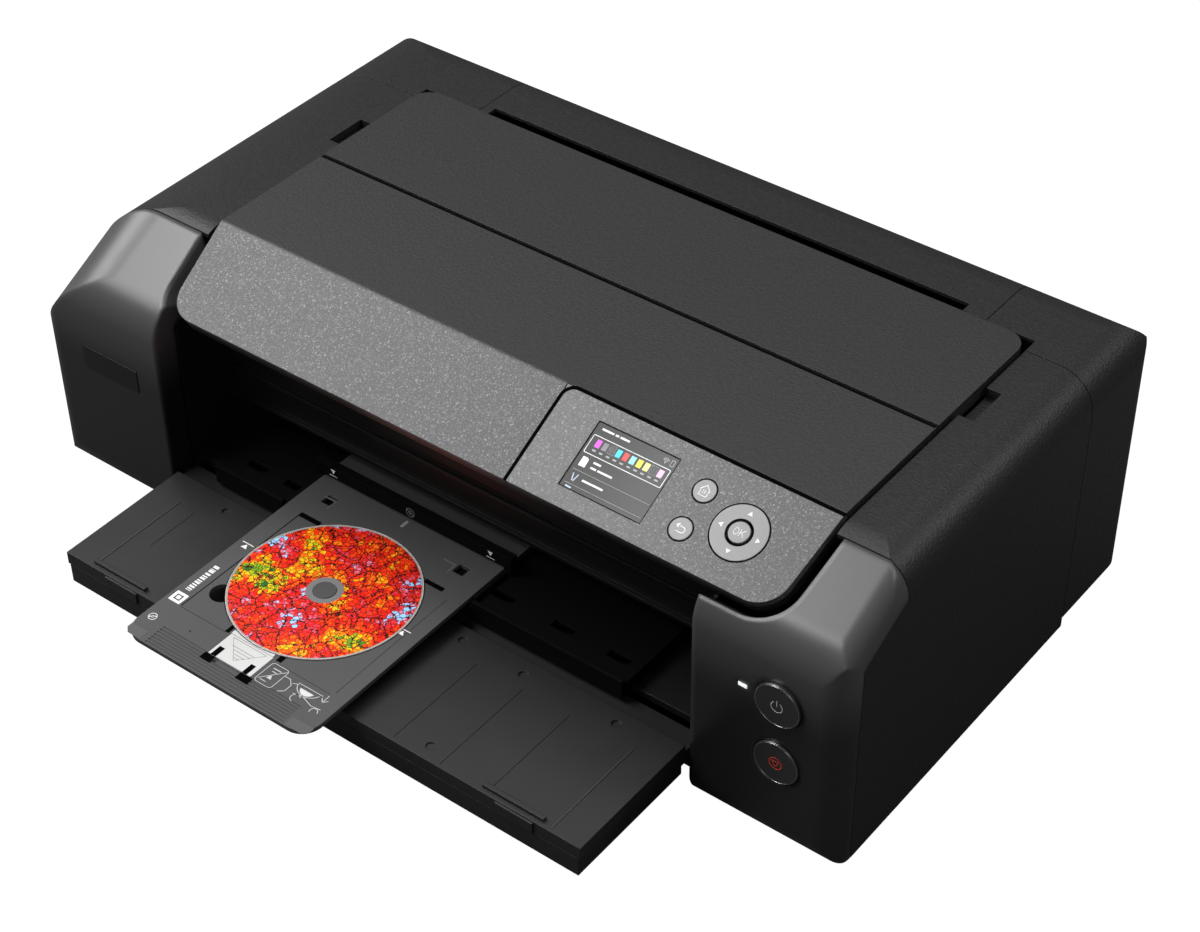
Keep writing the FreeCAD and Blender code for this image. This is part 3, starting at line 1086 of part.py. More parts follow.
out_latches = [block("out_latch_%d" % index, (x, x + " + latch_width"),
                     ("-out_reach - latch_proud", "-out_reach + 1"),
                     ("out_top - out_thick", "out_top - 1"))
               for index, x in enumerate(("open_left + 40", "open_right - 63"))]
dimples = [rod("dimple_%d" % index, ALONG_Z, x, depth, "out_top - dimple_deep", "dimple_r",
               "dimple_deep * 2")
           for index, (x, depth) in enumerate((
               ("open_left + 58", "-10"), ("open_right - 160", "-10"), ("open_right - 119", "-88"),
               ("open_right - 45", "-10"), ("open_right - 113", "-11")))]
node(cut("output_tray_cut",
         fused("output_tray_body", cut("out_shell", out_plate, out_hollow), out_strip_bar,
                                  *(out_ends + out_pins + out_lips + out_latches)), *dimples),
     "output_tray")
ext_x = grown(out_x, "-ext_inset")
ext_top = "out_top - out_thick - fit_gap"
node(cut("extension_cut",
         fused("extension_blank",
               block("extension_box", ext_x, ("-out_reach", "-ext_rear"), ("ext_low", ext_top)),
               block("extension_tail", ext_x, ("-ext_rear - 1", "-tail_rear"),
                     ("ext_low", "tail_top"))),
         block("extension_well", grown(ext_x, "-out_skin"),
               ("-out_reach + out_skin", "-ext_rear - out_skin"),
               ("ext_low + ext_floor", ext_top + " + 1"))), "output_tray_extension")
node(block("exit_plate", slot_x, ("exit_front", "exit_rear"),
           ("ledge_z + fit_gap", "ledge_z + fit_gap + exit_thick")),
     "paper_exit_guide")

tray_x = ("disc_x - tray_half", "disc_x + tray_half")
tray_top = "tray_low + tray_thick"
tray_blank = rounded("disc_tray_blank",
                     block("disc_tray_plate", tray_x, ("-tray_reach", "tray_rear"),
                                              ("tray_low", tray_top)),
                     "tray_corner",
                     lambda e: runs(e, ALONG_Z) and near(e, ALONG_Y, "front - tray_reach"))
pocket = rod("disc_pocket", ALONG_Z, "disc_x", "disc_depth", "tray_low + pocket_floor",
             "disc_r + pocket_gap",
             "tray_thick")
finger_hole = rod("finger_hole", ALONG_Z, "finger_x", "finger_depth", "tray_low - 1", "finger_r",
                  "tray_thick + 2")
grips = [block("grip_%d" % index, ("disc_x - grip_half", "disc_x + grip_half"),
               ("-tray_reach + grip_margin + %d * grip_pitch" % index,
                "-tray_reach + grip_margin + %d * grip_pitch + grip_wide" % index),
               (tray_top + " - grip_deep",
                tray_top + " + 1")) for index in range(int(value("grip_count")))]
windows = [block("tray_window_%d" % index, (x, x + " + window"),
                 ("window_depth", "window_depth + window"),
                 ("tray_low - 1", tray_top + " + 1"))
           for index, x in enumerate(("disc_x - 58", "disc_x + 58 - window"))]
clip_x = ("disc_x - 2 - clip_width / 2", "disc_x - 2 + clip_width / 2")
clip_seat = block("clip_seat", grown(clip_x, "clip_gap"),
                  ("clip_rear - clip_length - clip_travel - clip_gap", "clip_rear + clip_gap"),
                  (tray_top + " - clip_thick - clip_gap", tray_top + " + 1"))
hub = rod("disc_hub", ALONG_Z, "disc_x", "disc_depth", "tray_low", "disc_hole_r - hub_gap",
          "pocket_floor + disc_lift + disc_thick + hub_over")
node(fused("disc_tray_body",
           cut("disc_tray_cut", tray_blank, pocket, finger_hole, clip_seat, *(grips + windows)),
           hub), "disc_tray")
node(cut("disc_cut",
         rod("disc_blank", ALONG_Z, "disc_x", "disc_depth", "tray_low + pocket_floor + disc_lift",
             "disc_r", "disc_thick"),
         rod("disc_hole", ALONG_Z, "disc_x", "disc_depth", "tray_low", "disc_hole_r",
             "tray_thick * 2")), "label_disc")
node(block("clip_plate", clip_x, ("clip_rear - clip_length", "clip_rear"),
           (tray_top + " - clip_thick", tray_top)),
     "disc_tray_clip")

guide_top = "tray_low - clip_gap"
guide_parts = [block("guide_plate", ("guide_left", "guide_right"), ("guide_front", "tray_rear"),
                     (guide_top + " - guide_thick", guide_top))]
for side, near_x, far_x in (("left", "%s - clip_gap" % tray_x[0],
                             "%s - clip_gap - side_rail" % tray_x[0]),
                            ("right", "%s + clip_gap + side_rail" % tray_x[1],
                             "%s + clip_gap" % tray_x[1])):
    guide_parts.append(block("guide_rail_" + side, (far_x, near_x), ("rail_front", "tray_rear"),
                             (guide_top + " - 1", tray_top)))
bar_x = (tray_x[0] + " - clip_gap - post_width", tray_x[1] + " + clip_gap + post_width")
guide_parts.append(block("guide_bar", bar_x, ("bar_front", "bar_front + bar_deep"),
                         ("bar_low", "bar_high")))
for side, low_x in (("left", bar_x[0]), ("right", bar_x[1] + " - post_width")):
    guide_parts.append(block("guide_post_" + side, (low_x, low_x + " + post_width"),
                             ("bar_front", "bar_front + bar_deep"),
                             (guide_top + " - 1", "bar_low + 1")))
guide_parts.append(block("guide_lip_left", ("guide_left", tray_x[0] + " - clip_gap - side_rail"),
                         ("guide_front", "guide_front + lip_wide"),
                         (guide_top + " - 1", guide_top + " + lip_up")))
guide_parts.append(block("guide_lip_right", (tray_x[1] + " + clip_gap + side_rail", "guide_right"),
                         ("guide_front", "guide_front + lip_wide"),
                         (guide_top + " - 1", guide_top + " + lip_up")))
guide_well = block("guide_well", ("guide_left + guide_skin", "guide_right - guide_skin"),
                   ("guide_front + guide_skin", "tray_rear - guide_skin"),
                   (guide_top + " - guide_thick - 1", guide_top + " - guide_skin"))
guide_slots = [block("guide_slot_%d" % index, (x, x + " + slot_long"),
                     ("guide_front + 16", "guide_front + 16 + slot_wide"),
                     (guide_top + " - guide_thick", guide_top + " + 1"))
               for index, x in enumerate(("guide_left + 12", "guide_left + 44", "guide_right - 112",
                                          "guide_right - 66", "guide_right - 24"))]
node(cut("disc_tray_guide_cut", fused("disc_tray_guide_body", *guide_parts), guide_well,
         *guide_slots), "disc_tray_guide")

# ---------------------------------------------------------------- checks and files

doc.recompute()
for thing in doc.Objects:
    bad = [state for state in thing.State if state in ("Invalid", "Error")]
    if bad:
        raise RuntimeError("%s: %s" % (thing.Name, thing.getStatusString()))
for thing in nodes:
    if thing.Shape.isNull() or not thing.Shape.isValid() or thing.Shape.Volume < 1:
        raise RuntimeError("%s has no valid solid" % thing.Label)
os.makedirs("parts", exist_ok=True)
for thing in nodes:
    thing.Shape.exportStep("parts/%s.step" % thing.Label)
print("%d nodes" % len(nodes))
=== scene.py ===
"""Looks of the disc label printer: finishes, printed marks, screen, lamps and camera.

Metres. +X is to the right of someone facing the front, +Y is to the back and Z is up.
Marks are placed in millimetres on a flat place: across from the paper line, then up or away.
"""
import json
from math import cos, isclose, pi, radians, sin

import bmesh
import bpy
from mathutils import Matrix, Vector


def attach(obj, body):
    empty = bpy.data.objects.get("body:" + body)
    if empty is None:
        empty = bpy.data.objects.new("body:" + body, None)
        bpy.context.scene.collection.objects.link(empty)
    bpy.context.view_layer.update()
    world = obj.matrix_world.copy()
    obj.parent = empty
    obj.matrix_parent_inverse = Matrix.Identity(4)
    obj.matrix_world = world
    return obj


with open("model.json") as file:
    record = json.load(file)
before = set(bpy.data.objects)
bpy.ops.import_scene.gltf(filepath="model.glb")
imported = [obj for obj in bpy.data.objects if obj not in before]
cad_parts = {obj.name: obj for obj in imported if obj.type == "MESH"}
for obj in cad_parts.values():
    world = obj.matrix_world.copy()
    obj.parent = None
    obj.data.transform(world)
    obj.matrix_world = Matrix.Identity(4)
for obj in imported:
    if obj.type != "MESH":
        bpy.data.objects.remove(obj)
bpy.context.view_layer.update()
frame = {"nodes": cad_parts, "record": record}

MM = 0.001
PAPER_LINE = -9.75                  # mm, from the middle of the casing
FRONT = -100.0                      # mm, plane of the front faces
SLOPE_ANGLE = radians(28)
SLOPE_TOP = (71.2, 200.0)           # depth and height of the bend, mm
BEND_Y = (SLOPE_TOP[0] + FRONT) * MM

# ------------------------------------------------------------------ camera and light

CAMERA_PLACE = Vector((0.79255, -0.9255, 1.0998))
CAMERA_TURN = radians(37.9741)      # to the left of straight ahead
CAMERA_DROP = radians(39.8757)      # below the horizon
CAMERA_ROLL = radians(-0.6544)
CAMERA_LENS = 76.24                 # mm
FILM_WIDTH = 36                     # mm


def add_camera():
    data = bpy.data.cameras.new("photo_camera")
    data.lens = CAMERA_LENS
    data.sensor_width = FILM_WIDTH
    camera = bpy.data.objects.new("photo_camera", data)
    bpy.context.scene.collection.objects.link(camera)
    ahead = Vector((-sin(CAMERA_TURN) * cos(CAMERA_DROP), cos(CAMERA_TURN) * cos(CAMERA_DROP),
                    -sin(CAMERA_DROP)))
    level = Vector((cos(CAMERA_TURN), sin(CAMERA_TURN), 0))
    upward = level.cross(ahead)
    right = level * cos(CAMERA_ROLL) + upward * sin(CAMERA_ROLL)
    upward = right.cross(ahead)
    turn = Matrix((right, upward, -ahead)).transposed()
    camera.matrix_world = Matrix.Translation(CAMERA_PLACE) @ turn.to_4x4()
    bpy.context.scene.camera = camera


BODY_AIM = (0.0, 0.0, 0.12)          # the points that the lamps look at
LEFT_CHEEK_AIM = (-0.28, -0.03, 0.15)
SCOOP_AIM = (-0.2, -0.05, 0.15)
# Place, size in metres, power in watts and aim of each lamp. The slope lamp stands where the
# front slope and the cheeks mirror it to the camera.
LAMPS = {
    "slope_lamp": ((-1.0, -0.44, 1.83), (1.6, 0.8), 42, BODY_AIM),
    "top_lamp": ((0.1, 0.7, 2.4), (1.8, 1.2), 26, BODY_AIM),
    "left_lamp": ((-2.1, 0.1, 1.15), (0.9, 0.8), 16, LEFT_CHEEK_AIM),
    "scoop_lamp": ((1.6, 1.2, 1.5), (1.0, 0.7), 14, SCOOP_AIM),
    "fold_lamp": ((-1.2, -0.95, 1.45), (1.0, 0.7), 11, BODY_AIM),
    "front_lamp": ((1.2, -1.8, 1.3), (1.0, 0.8), 7, BODY_AIM),
}


def add_lamp(name, place, size, power, aim):
    """A soft rectangular lamp that looks at a point."""
    data = bpy.data.lights.new(name, "AREA")
    data.shape = "RECTANGLE"
    data.size, data.size_y = size
    data.energy = power
    lamp = bpy.data.objects.new(name, data)
    bpy.context.scene.collection.objects.link(lamp)
    lamp.location = place
    lamp.rotation_euler = (Vector(place) - Vector(aim)).to_track_quat("Z", "Y").to_euler()


FLOOR_REACH = 6                     # metres each way
FLOOR_SHADOW_GREY = 0.05            # what shadows and lamps change in the white that is shown
FLOOR_BOUNCE_GREY = 0.08            # what the floor gives back to the printer
FILL_GREY = 0.15                    # the even light from all round


def grey(level):
    return level, level, level, 1


def add_floor():
    """A floor that shows white to the camera, and a dark grey to gloss and to light."""
    mesh = bpy.data.meshes.new("floor")
    corners = [(x * FLOOR_REACH, y * FLOOR_REACH, 0) for x, y in ((-1, -1), (1, -1), (1, 1), (-1, 1))]
    mesh.from_pydata(corners, [], [(0, 1, 2, 3)])
    floor = bpy.data.objects.new("floor", mesh)
    bpy.context.scene.collection.objects.link(floor)
    material = bpy.data.materials.new("floor")
    material.use_nodes = True
    tree = material.node_tree
    tree.nodes.clear()
    output = tree.nodes.new("ShaderNodeOutputMaterial")
    path = tree.nodes.new("ShaderNodeLightPath")
    shown = tree.nodes.new("ShaderNodeEmission")
    shown.inputs["Strength"].default_value = 1.0
    shade = tree.nodes.new("ShaderNodeBsdfDiffuse")
    shade.inputs["Color"].default_value = grey(FLOOR_SHADOW_GREY)
    both = tree.nodes.new("ShaderNodeAddShader")
    tree.links.new(shown.outputs[0], both.inputs[0])
    tree.links.new(shade.outputs[0], both.inputs[1])
    plain = tree.nodes.new("ShaderNodeBsdfDiffuse")
    plain.inputs["Color"].default_value = grey(FLOOR_BOUNCE_GREY)
    mix = tree.nodes.new("ShaderNodeMixShader")
    tree.links.new(path.outputs["Is Camera Ray"], mix.inputs[0])
    tree.links.new(plain.outputs[0], mix.inputs[1])
    tree.links.new(both.outputs[0], mix.inputs[2])
    tree.links.new(mix.outputs[0], output.inputs["Surface"])
    mesh.materials.append(material)


def light_world():
    """A white surround to the camera, and an even dark grey one that fills the shadows."""
    world = bpy.data.worlds.new("studio")
    bpy.context.scene.world = world
    world.use_nodes = True
    tree = world.node_tree
    tree.nodes.clear()
    output = tree.nodes.new("ShaderNodeOutputWorld")
    path = tree.nodes.new("ShaderNodeLightPath")
    fill = tree.nodes.new("ShaderNodeBackground")
    fill.inputs["Color"].default_value = grey(FILL_GREY)
    white = tree.nodes.new("ShaderNodeBackground")
    white.inputs["Color"].default_value = grey(1)
    mix = tree.nodes.new("ShaderNodeMixShader")
    tree.links.new(path.outputs["Is Camera Ray"], mix.inputs[0])
    tree.links.new(fill.outputs[0], mix.inputs[1])
    tree.links.new(white.outputs[0], mix.inputs[2])
    tree.links.new(mix.outputs[0], output.inputs["Surface"])


add_camera()
add_floor()
light_world()
for lamp_name, settings in LAMPS.items():
    add_lamp(lamp_name, *settings)

# ------------------------------------------------------------------ materials

EDGE_ROUND = 0.7 * MM               # how far a sharp edge seems rounded
EDGE_SAMPLES = 4
CHEEK_ROUND = 5 * MM                # the same on the painted cheeks, whose folds are soft
CHEEK_SAMPLES = 12
MIX_COLOURS = (6, 7)                # a colour mix node's two colour inputs, and its output
MIX_RESULT = 2


SHADE_SPOTS = (0.3, 0.7)             # where a noise turns from dark to light


class Finish:
    """A node material built step by step round one principled shader."""

    def __init__(self, name, colour, roughness, metallic=0.0, specular=0.5):
        self.material = bpy.data.materials.new(name)
        self.material.use_nodes = True
        self.tree = self.material.node_tree
        self.shader = self.tree.nodes["Principled BSDF"]
        self.colour = colour
        self.shader.inputs["Base Color"].default_value = (*colour, 1)
        self.shader.inputs["Roughness"].default_value = roughness
        self.shader.inputs["Metallic"].default_value = metallic
        self.shader.inputs["Specular IOR Level"].default_value = specular
        self.place = self.tree.nodes.new("ShaderNodeTexCoord").outputs["Object"]
        self.edge = (EDGE_ROUND, EDGE_SAMPLES)

    def node(self, kind, **settings):
        """A new node; each setting is an input's value or the node's own choice."""
        made = self.tree.nodes.new(kind)
        for key, setting in settings.items():
            if key in made.inputs:
                made.inputs[key].default_value = setting
            else:
                setattr(made, key, setting)
        return made

    def join(self, out, into):
        self.tree.links.new(out, into)

    def sum_of(self, operation, *values):
        """A math node on sockets and numbers."""
        made = self.node("ShaderNodeMath", operation=operation)
        for socket, value in zip(made.inputs, values):
            if isinstance(value, (int, float)):
                socket.default_value = value
            else:
                self.join(value, socket)
        return made.outputs[0]

    def axes(self):
        """The place's X, Y and Z, in metres."""
        parts = self.node("ShaderNodeSeparateXYZ")
        self.join(self.place, parts.inputs[0])
        return parts.outputs

    def above_slope(self):
        """Height above the surface of the front slope, in metres; negative below it."""
        _, y, z = self.axes()
        rise = self.sum_of("SUBTRACT", z, SLOPE_TOP[1] * MM)
        run = self.sum_of("SUBTRACT", y, BEND_Y)
        return self.sum_of("ADD", self.sum_of("MULTIPLY", rise, cos(SLOPE_ANGLE)),
                           self.sum_of("MULTIPLY", run, -sin(SLOPE_ANGLE)))

    def length_of(self, first, second):
        """The length of the line whose two legs are given."""
        squares = [self.sum_of("MULTIPLY", leg, leg) for leg in (first, second)]
        return self.sum_of("SQRT", self.sum_of("ADD", *squares))

    def step(self, source, low, high):
        """Rises softly from 0 to 1 as the source goes from low to high."""
        made = self.node("ShaderNodeMapRange", interpolation_type="SMOOTHSTEP")
        made.inputs["From Min"].default_value = low
        made.inputs["From Max"].default_value = high
        self.join(source, made.inputs["Value"])
        return made.outputs["Result"]

    def noise(self, scale, detail=2.0):
        """Cloudy noise with so many waves to the metre."""
        made = self.node("ShaderNodeTexNoise", Scale=scale, Detail=detail)
        self.join(self.place, made.inputs["Vector"])
        return made.outputs["Fac"]

    def cells(self, scale, output="Color", feature="F1"):
        """Random cells, so many to the metre."""
        made = self.node("ShaderNodeTexVoronoi", Scale=scale, feature=feature)
        self.join(self.place, made.inputs["Vector"])
        return made.outputs[output]

    def ramp(self, source, *stops):
        """A colour or a grey that follows the source through the given stops."""
        made = self.node("ShaderNodeValToRGB")
        ramp = made.color_ramp
        while len(ramp.elements) < len(stops):
            ramp.elements.new(0.5)
        for element, (spot, shade) in zip(ramp.elements, stops):
            element.position = spot
            element.color = (*shade, 1) if isinstance(shade, tuple) else (shade, shade, shade, 1)
        self.join(source, made.inputs["Fac"])
        return made.outputs["Color"]

    def mix(self, factor, first, second):
        """A colour between two, each a colour or a socket."""
        made = self.node("ShaderNodeMix", data_type="RGBA")
        self.join(factor, made.inputs["Factor"])
        for index, shade in zip(MIX_COLOURS, (first, second)):
            if isinstance(shade, tuple):
                made.inputs[index].default_value = (*shade, 1)
            else:
                self.join(shade, made.inputs[index])
        return made.outputs[MIX_RESULT]

    def paint(self, source):
        self.join(source, self.shader.inputs["Base Color"])

    def bump(self, source, height, strength=1.0):
        """Raises the surface by the source, over softened edges."""
        made = self.node("ShaderNodeBump", Strength=strength, Distance=height)
        self.join(source, made.inputs["Height"])
        last = self.shader.inputs["Normal"].links
        before = last[0].from_socket if last else self.soft_edges()
        self.join(before, made.inputs["Normal"])
        self.join(made.outputs["Normal"], self.shader.inputs["Normal"])

    def soft_edges(self):
        """A normal that turns gently over sharp edges, so that they catch the light."""
        radius, samples = self.edge
        made = self.node("ShaderNodeBevel", Radius=radius, samples=samples)
        return made.outputs["Normal"]

    def shades(self, source, dark, light, colour=None):
        """The base colour varied between two multiples of itself."""
        two = [tuple(min(1.0, part * k) for part in colour or self.colour) for k in (dark, light)]
        return self.ramp(source, *zip(SHADE_SPOTS, two))

    def sheen_of(self, source, low, high):
        """Varies the roughness."""
        made = self.node("ShaderNodeMapRange")
        made.inputs["To Min"].default_value = low
        made.inputs["To Max"].default_value = high
        self.join(source, made.inputs["Value"])
        self.join(made.outputs["Result"], self.shader.inputs["Roughness"])


# Scales of noise and cells are counted to the metre, and depths of grain are real depths.
MOULD_GRAIN = 2600
MOULD_CLOUDS = 9
MOULD_SMEARS = 60


def moulded(name, colour, roughness=0.45, specular=0.5, depth=0.02 * MM):
    """Smooth moulded plastic with a fine satin texture."""
    finish = Finish(name, colour, roughness, specular=specular)
    finish.bump(finish.noise(MOULD_GRAIN, 3), depth, 0.6)
    finish.paint(finish.shades(finish.noise(MOULD_CLOUDS), 0.92, 1.08))
    finish.sheen_of(finish.noise(MOULD_SMEARS, 3), roughness - 0.03, roughness + 0.03)
    return finish.material


LEATHER_CELLS = 700
LEATHER_DEPTH = 0.22 * MM
LEATHER_CLOUDS = 520
LEATHER_SMEARS = 340


def leather(finish, colour, roughness):
    """Adds a leather grain of small round cells with soft valleys; gives its colour."""
    finish.bump(finish.cells(LEATHER_CELLS, "Distance", "SMOOTH_F1"), LEATHER_DEPTH, 0.9)
    finish.sheen_of(finish.noise(LEATHER_SMEARS), roughness - 0.06, roughness + 0.08)
    return finish.shades(finish.noise(LEATHER_CLOUDS, 3), 0.78, 1.22, colour)


def grained(name, colour, roughness, specular=0.35):
    """Black plastic with a leather grain all over."""
    finish = Finish(name, colour, roughness, specular=specular)
    finish.paint(leather(finish, colour, roughness))
    return finish.material


FLECK_CLOUDS = 1400
# Cells to the metre, where in the cells' random grey a fleck begins and is full, and how many
# times lighter than the paint it is: the many small flecks first, then the few bright ones.
FLECKS = ((1700, 0.68, 0.80, 2.3), (1250, 0.80, 0.88, 3.6))


def fleck(finish, colour):
    """The colour of grey paint full of fine light flecks."""
    paint = finish.shades(finish.noise(FLECK_CLOUDS), 0.84, 1.16, colour)
    for scale, begin, full, gain in FLECKS:
        spots = finish.ramp(finish.cells(scale), (begin, 0.0), (full, 1.0))
        paint = finish.mix(spots, paint, tuple(part * gain for part in colour))
    return paint


FLECK_GREY = (0.048, 0.048, 0.0487)
LEATHER_GREY = (0.015, 0.015, 0.0152)
BLACK = (0.006, 0.006, 0.0062)
SKIN = 5 * MM                       # the flecked paint stops this far below the slope's face
SKIN_FADE = 0.6 * MM
BEND_FADE = 1.5 * MM                # the paint turns into leather this near the bend


def sloping_cover(name, bends):
    """Flecked paint on the slope with black edges below it, and leather grain on a flat top."""
    finish = Finish(name, FLECK_GREY, 0.4, specular=0.4)
    skin = finish.step(finish.above_slope(), -SKIN - SKIN_FADE, -SKIN)
    flecks = finish.mix(skin, BLACK, fleck(finish, FLECK_GREY))
    if bends:
        flat = finish.step(finish.axes()[1], BEND_Y - BEND_FADE, BEND_Y + BEND_FADE)
        finish.paint(finish.mix(flat, flecks, leather(finish, LEATHER_GREY, 0.5)))
    else:
        finish.paint(flecks)
        finish.bump(finish.noise(1500), 0.04 * MM, 0.5)
        finish.sheen_of(finish.noise(300), 0.36, 0.46)
    return finish.material


CHEEK_BLACK = (0.009, 0.009, 0.0092)
# The grey of the painted sheen that the slope shows over the black paint.
CHEEK_SHEEN_GREY = (0.052, 0.052, 0.053)
CHEEK_SHEEN_FADE = (100 * MM, 155 * MM)    # the heights where the painted sheen begins to lighten the black, and where it is full grey


def cheek_paint_and_sheen():
    """Satin paint, deep black on the upright faces, with a painted sheen that turns it a lighter grey
    on the slope.
    """
    finish = Finish("cheek_paint_and_sheen", CHEEK_SHEEN_GREY, 0.3, specular=0.5)
    finish.edge = (CHEEK_ROUND, CHEEK_SAMPLES)
    finish.paint(finish.mix(finish.step(finish.axes()[2], *CHEEK_SHEEN_FADE), CHEEK_BLACK, CHEEK_SHEEN_GREY))
    finish.bump(finish.noise(2400, 3), 0.012 * MM, 0.5)
    finish.sheen_of(finish.noise(80, 3), 0.3, 0.36)
    return finish.material


def metal(name, colour, roughness=0.35):
    """Bare metal with faint smears."""
    finish = Finish(name, colour, roughness, metallic=1.0)
    finish.bump(finish.noise(900), 0.01 * MM, 0.5)
    finish.sheen_of(finish.noise(40, 4), roughness - 0.08, roughness + 0.1)
    return finish.material


RING_PITCH = 0.5712 * MM            # from one turned ring to the next
SPUN_GREY = (0.12, 0.12, 0.122)


def spun(name, spot):
    """Turned metal with fine rings about a spot on the front, across and up in millimetres."""
    finish = Finish(name, SPUN_GREY, 0.32, metallic=0.9)
    x, _, z = finish.axes()
    radius = finish.length_of(finish.sum_of("SUBTRACT", x, (spot[0] + PAPER_LINE) * MM),
                              finish.sum_of("SUBTRACT", z, spot[1] * MM))
    rings = finish.sum_of("SINE", finish.sum_of("MULTIPLY", radius, 2 * pi / RING_PITCH))
    finish.bump(rings, 0.012 * MM, 0.8)
    finish.paint(finish.shades(finish.step(rings, -1.0, 1.0), 0.8, 1.2))
    return finish.material


SCREEN_FADE = (0.1, 0.16)           # the glass lightens between these, X in metres


def screen_face():
    """Dark display glass, brighter to the right."""
    finish = Finish("screen_face", (0.03, 0.031, 0.031), 0.2, specular=0.12)
    across = finish.step(finish.axes()[0], *SCREEN_FADE)
    finish.paint(finish.mix(across, (0.03, 0.0305, 0.031), (0.07, 0.072, 0.071)))
    finish.bump(finish.noise(900), 0.002 * MM, 0.4)
    finish.sheen_of(finish.noise(80), 0.18, 0.24)
    return finish.material


def lamp_glow():
    """A small white lamp behind a frosted lens."""
    finish = Finish("lamp_glow", (0.9, 0.92, 0.95), 0.35)
    finish.paint(finish.shades(finish.noise(300), 0.95, 1.05))
    finish.bump(finish.noise(1800), 0.01 * MM, 0.4)
    finish.shader.inputs["Emission Color"].default_value = (0.95, 0.97, 1.0, 1)
    finish.shader.inputs["Emission Strength"].default_value = 0.55
    return finish.material


DISC_MIDDLE = (-26.0, -36.0)        # across and depth
DISC_R = 60.0
PRINT_R = (11.6, 58.6)              # the print lies between these radii
PRINT_FADE = 0.1
PRINT_FIELDS = 26
PRINT_TILES = 330
PRINT_CHIPS = 1300
PRINT_CRACKS = 95
TILE_SPREAD = 0.22                  # how far a tile's and a chip's hue may stray
CHIP_SPREAD = 0.10
CRACK_WANDER = 1.6
JOINT_WIDTH = (0.0, 0.11)
CRACK_WIDTH = (0.005, 0.05)
PRINT_HUES = (
    (0.26, (0.01, 0.12, 0.02)),     # dark green
    (0.31, (0.22, 0.40, 0.01)),     # leaf green
    (0.345, (0.98, 0.60, 0.01)),    # yellow
    (0.385, (0.98, 0.22, 0.005)),   # orange
    (0.46, (0.93, 0.04, 0.005)),    # scarlet
    (0.58, (0.66, 0.004, 0.008)),   # crimson
    (0.64, (0.80, 0.10, 0.14)),     # rose
    (0.68, (0.30, 0.60, 0.95)),     # pale blue
)
JOINT_BROWN = (0.05, 0.008, 0.006)
CRACK_BROWN = (0.03, 0.006, 0.006)
HUB_GREY = (0.16, 0.16, 0.16)
RIM_GREY = (0.30, 0.29, 0.28)


def disc_print():
    """A glossy mosaic print in reds, oranges, yellows, greens and pale blues, and a clear rim."""
    finish = Finish("disc_print", (0.8, 0.2, 0.03), 0.22, specular=0.5)
    x, y, _ = finish.axes()
    radius = finish.length_of(finish.sum_of("SUBTRACT", x, (DISC_MIDDLE[0] + PAPER_LINE) * MM),
                              finish.sum_of("SUBTRACT", y, (DISC_MIDDLE[1] + FRONT) * MM))
    tiles, chips = (
        finish.sum_of("MULTIPLY", finish.sum_of("SUBTRACT", finish.cells(scale), 0.5), spread)
        for scale, spread in ((PRINT_TILES, TILE_SPREAD), (PRINT_CHIPS, CHIP_SPREAD)))
    joints, cracks = (finish.cells(scale, "Distance", "DISTANCE_TO_EDGE")
                      for scale in (PRINT_TILES, PRINT_CRACKS))
    fields = finish.sum_of("ADD", finish.noise(PRINT_FIELDS, 1.5), finish.sum_of("ADD", tiles, chips))
    mosaic = finish.mix(finish.step(joints, *JOINT_WIDTH), JOINT_BROWN,
                        finish.ramp(fields, *PRINT_HUES))
    wander = finish.sum_of("ADD", cracks, finish.sum_of("MULTIPLY", chips, CRACK_WANDER))
    picture = finish.mix(finish.step(wander, *CRACK_WIDTH), CRACK_BROWN, mosaic)
    inner, outer = (finish.step(radius, (edge - PRINT_FADE) * MM, (edge + PRINT_FADE) * MM)
                    for edge in PRINT_R)
    finish.paint(finish.mix(outer, finish.mix(inner, HUB_GREY, picture), RIM_GREY))
    finish.bump(finish.noise(1200), 0.004 * MM, 0.4)
    finish.sheen_of(finish.noise(60), 0.2, 0.28)
    return finish.material


POWER = (279.0, 117.5)              # across and height of the two front buttons
STOP = (279.0, 72.0)
# The finish of each material slot, and of the nodes that look different from their slot.
FINISHES = {
    "grained_plastic": grained("grained_plastic", (0.012, 0.012, 0.0122), 0.44, 0.28),
    "dark_plastic": moulded("dark_plastic", (0.007, 0.007, 0.0072), 0.4, 0.28),
    "silver_plastic": sloping_cover("silver_plastic", False),
    "tray_plastic": moulded("tray_plastic", (0.052, 0.052, 0.0525), 0.5, 0.3),
    "white_plastic": moulded("white_plastic", (0.48, 0.48, 0.475), 0.45),
    "grey_plastic": moulded("grey_plastic", (0.17, 0.17, 0.172), 0.36),
    "screen_glass": screen_face(),
    "lamp_lens": lamp_glow(),
    "label_print": disc_print(),
    "zinc_steel": metal("zinc_steel", (0.5, 0.5, 0.5)),
    "rubber": moulded("rubber", (0.015, 0.015, 0.015), 0.8, 0.2),
    "tank_plastic": moulded("tank_plastic", (0.03, 0.03, 0.033), 0.4),
    "board": moulded("board", (0.02, 0.12, 0.05), 0.35),
}
CHEEKS = cheek_paint_and_sheen()
LEATHER = grained("leather_top", LEATHER_GREY, 0.5)
OUTPUT_GREY = moulded("output_grey", (0.0125, 0.0125, 0.0127), 0.42, 0.32)
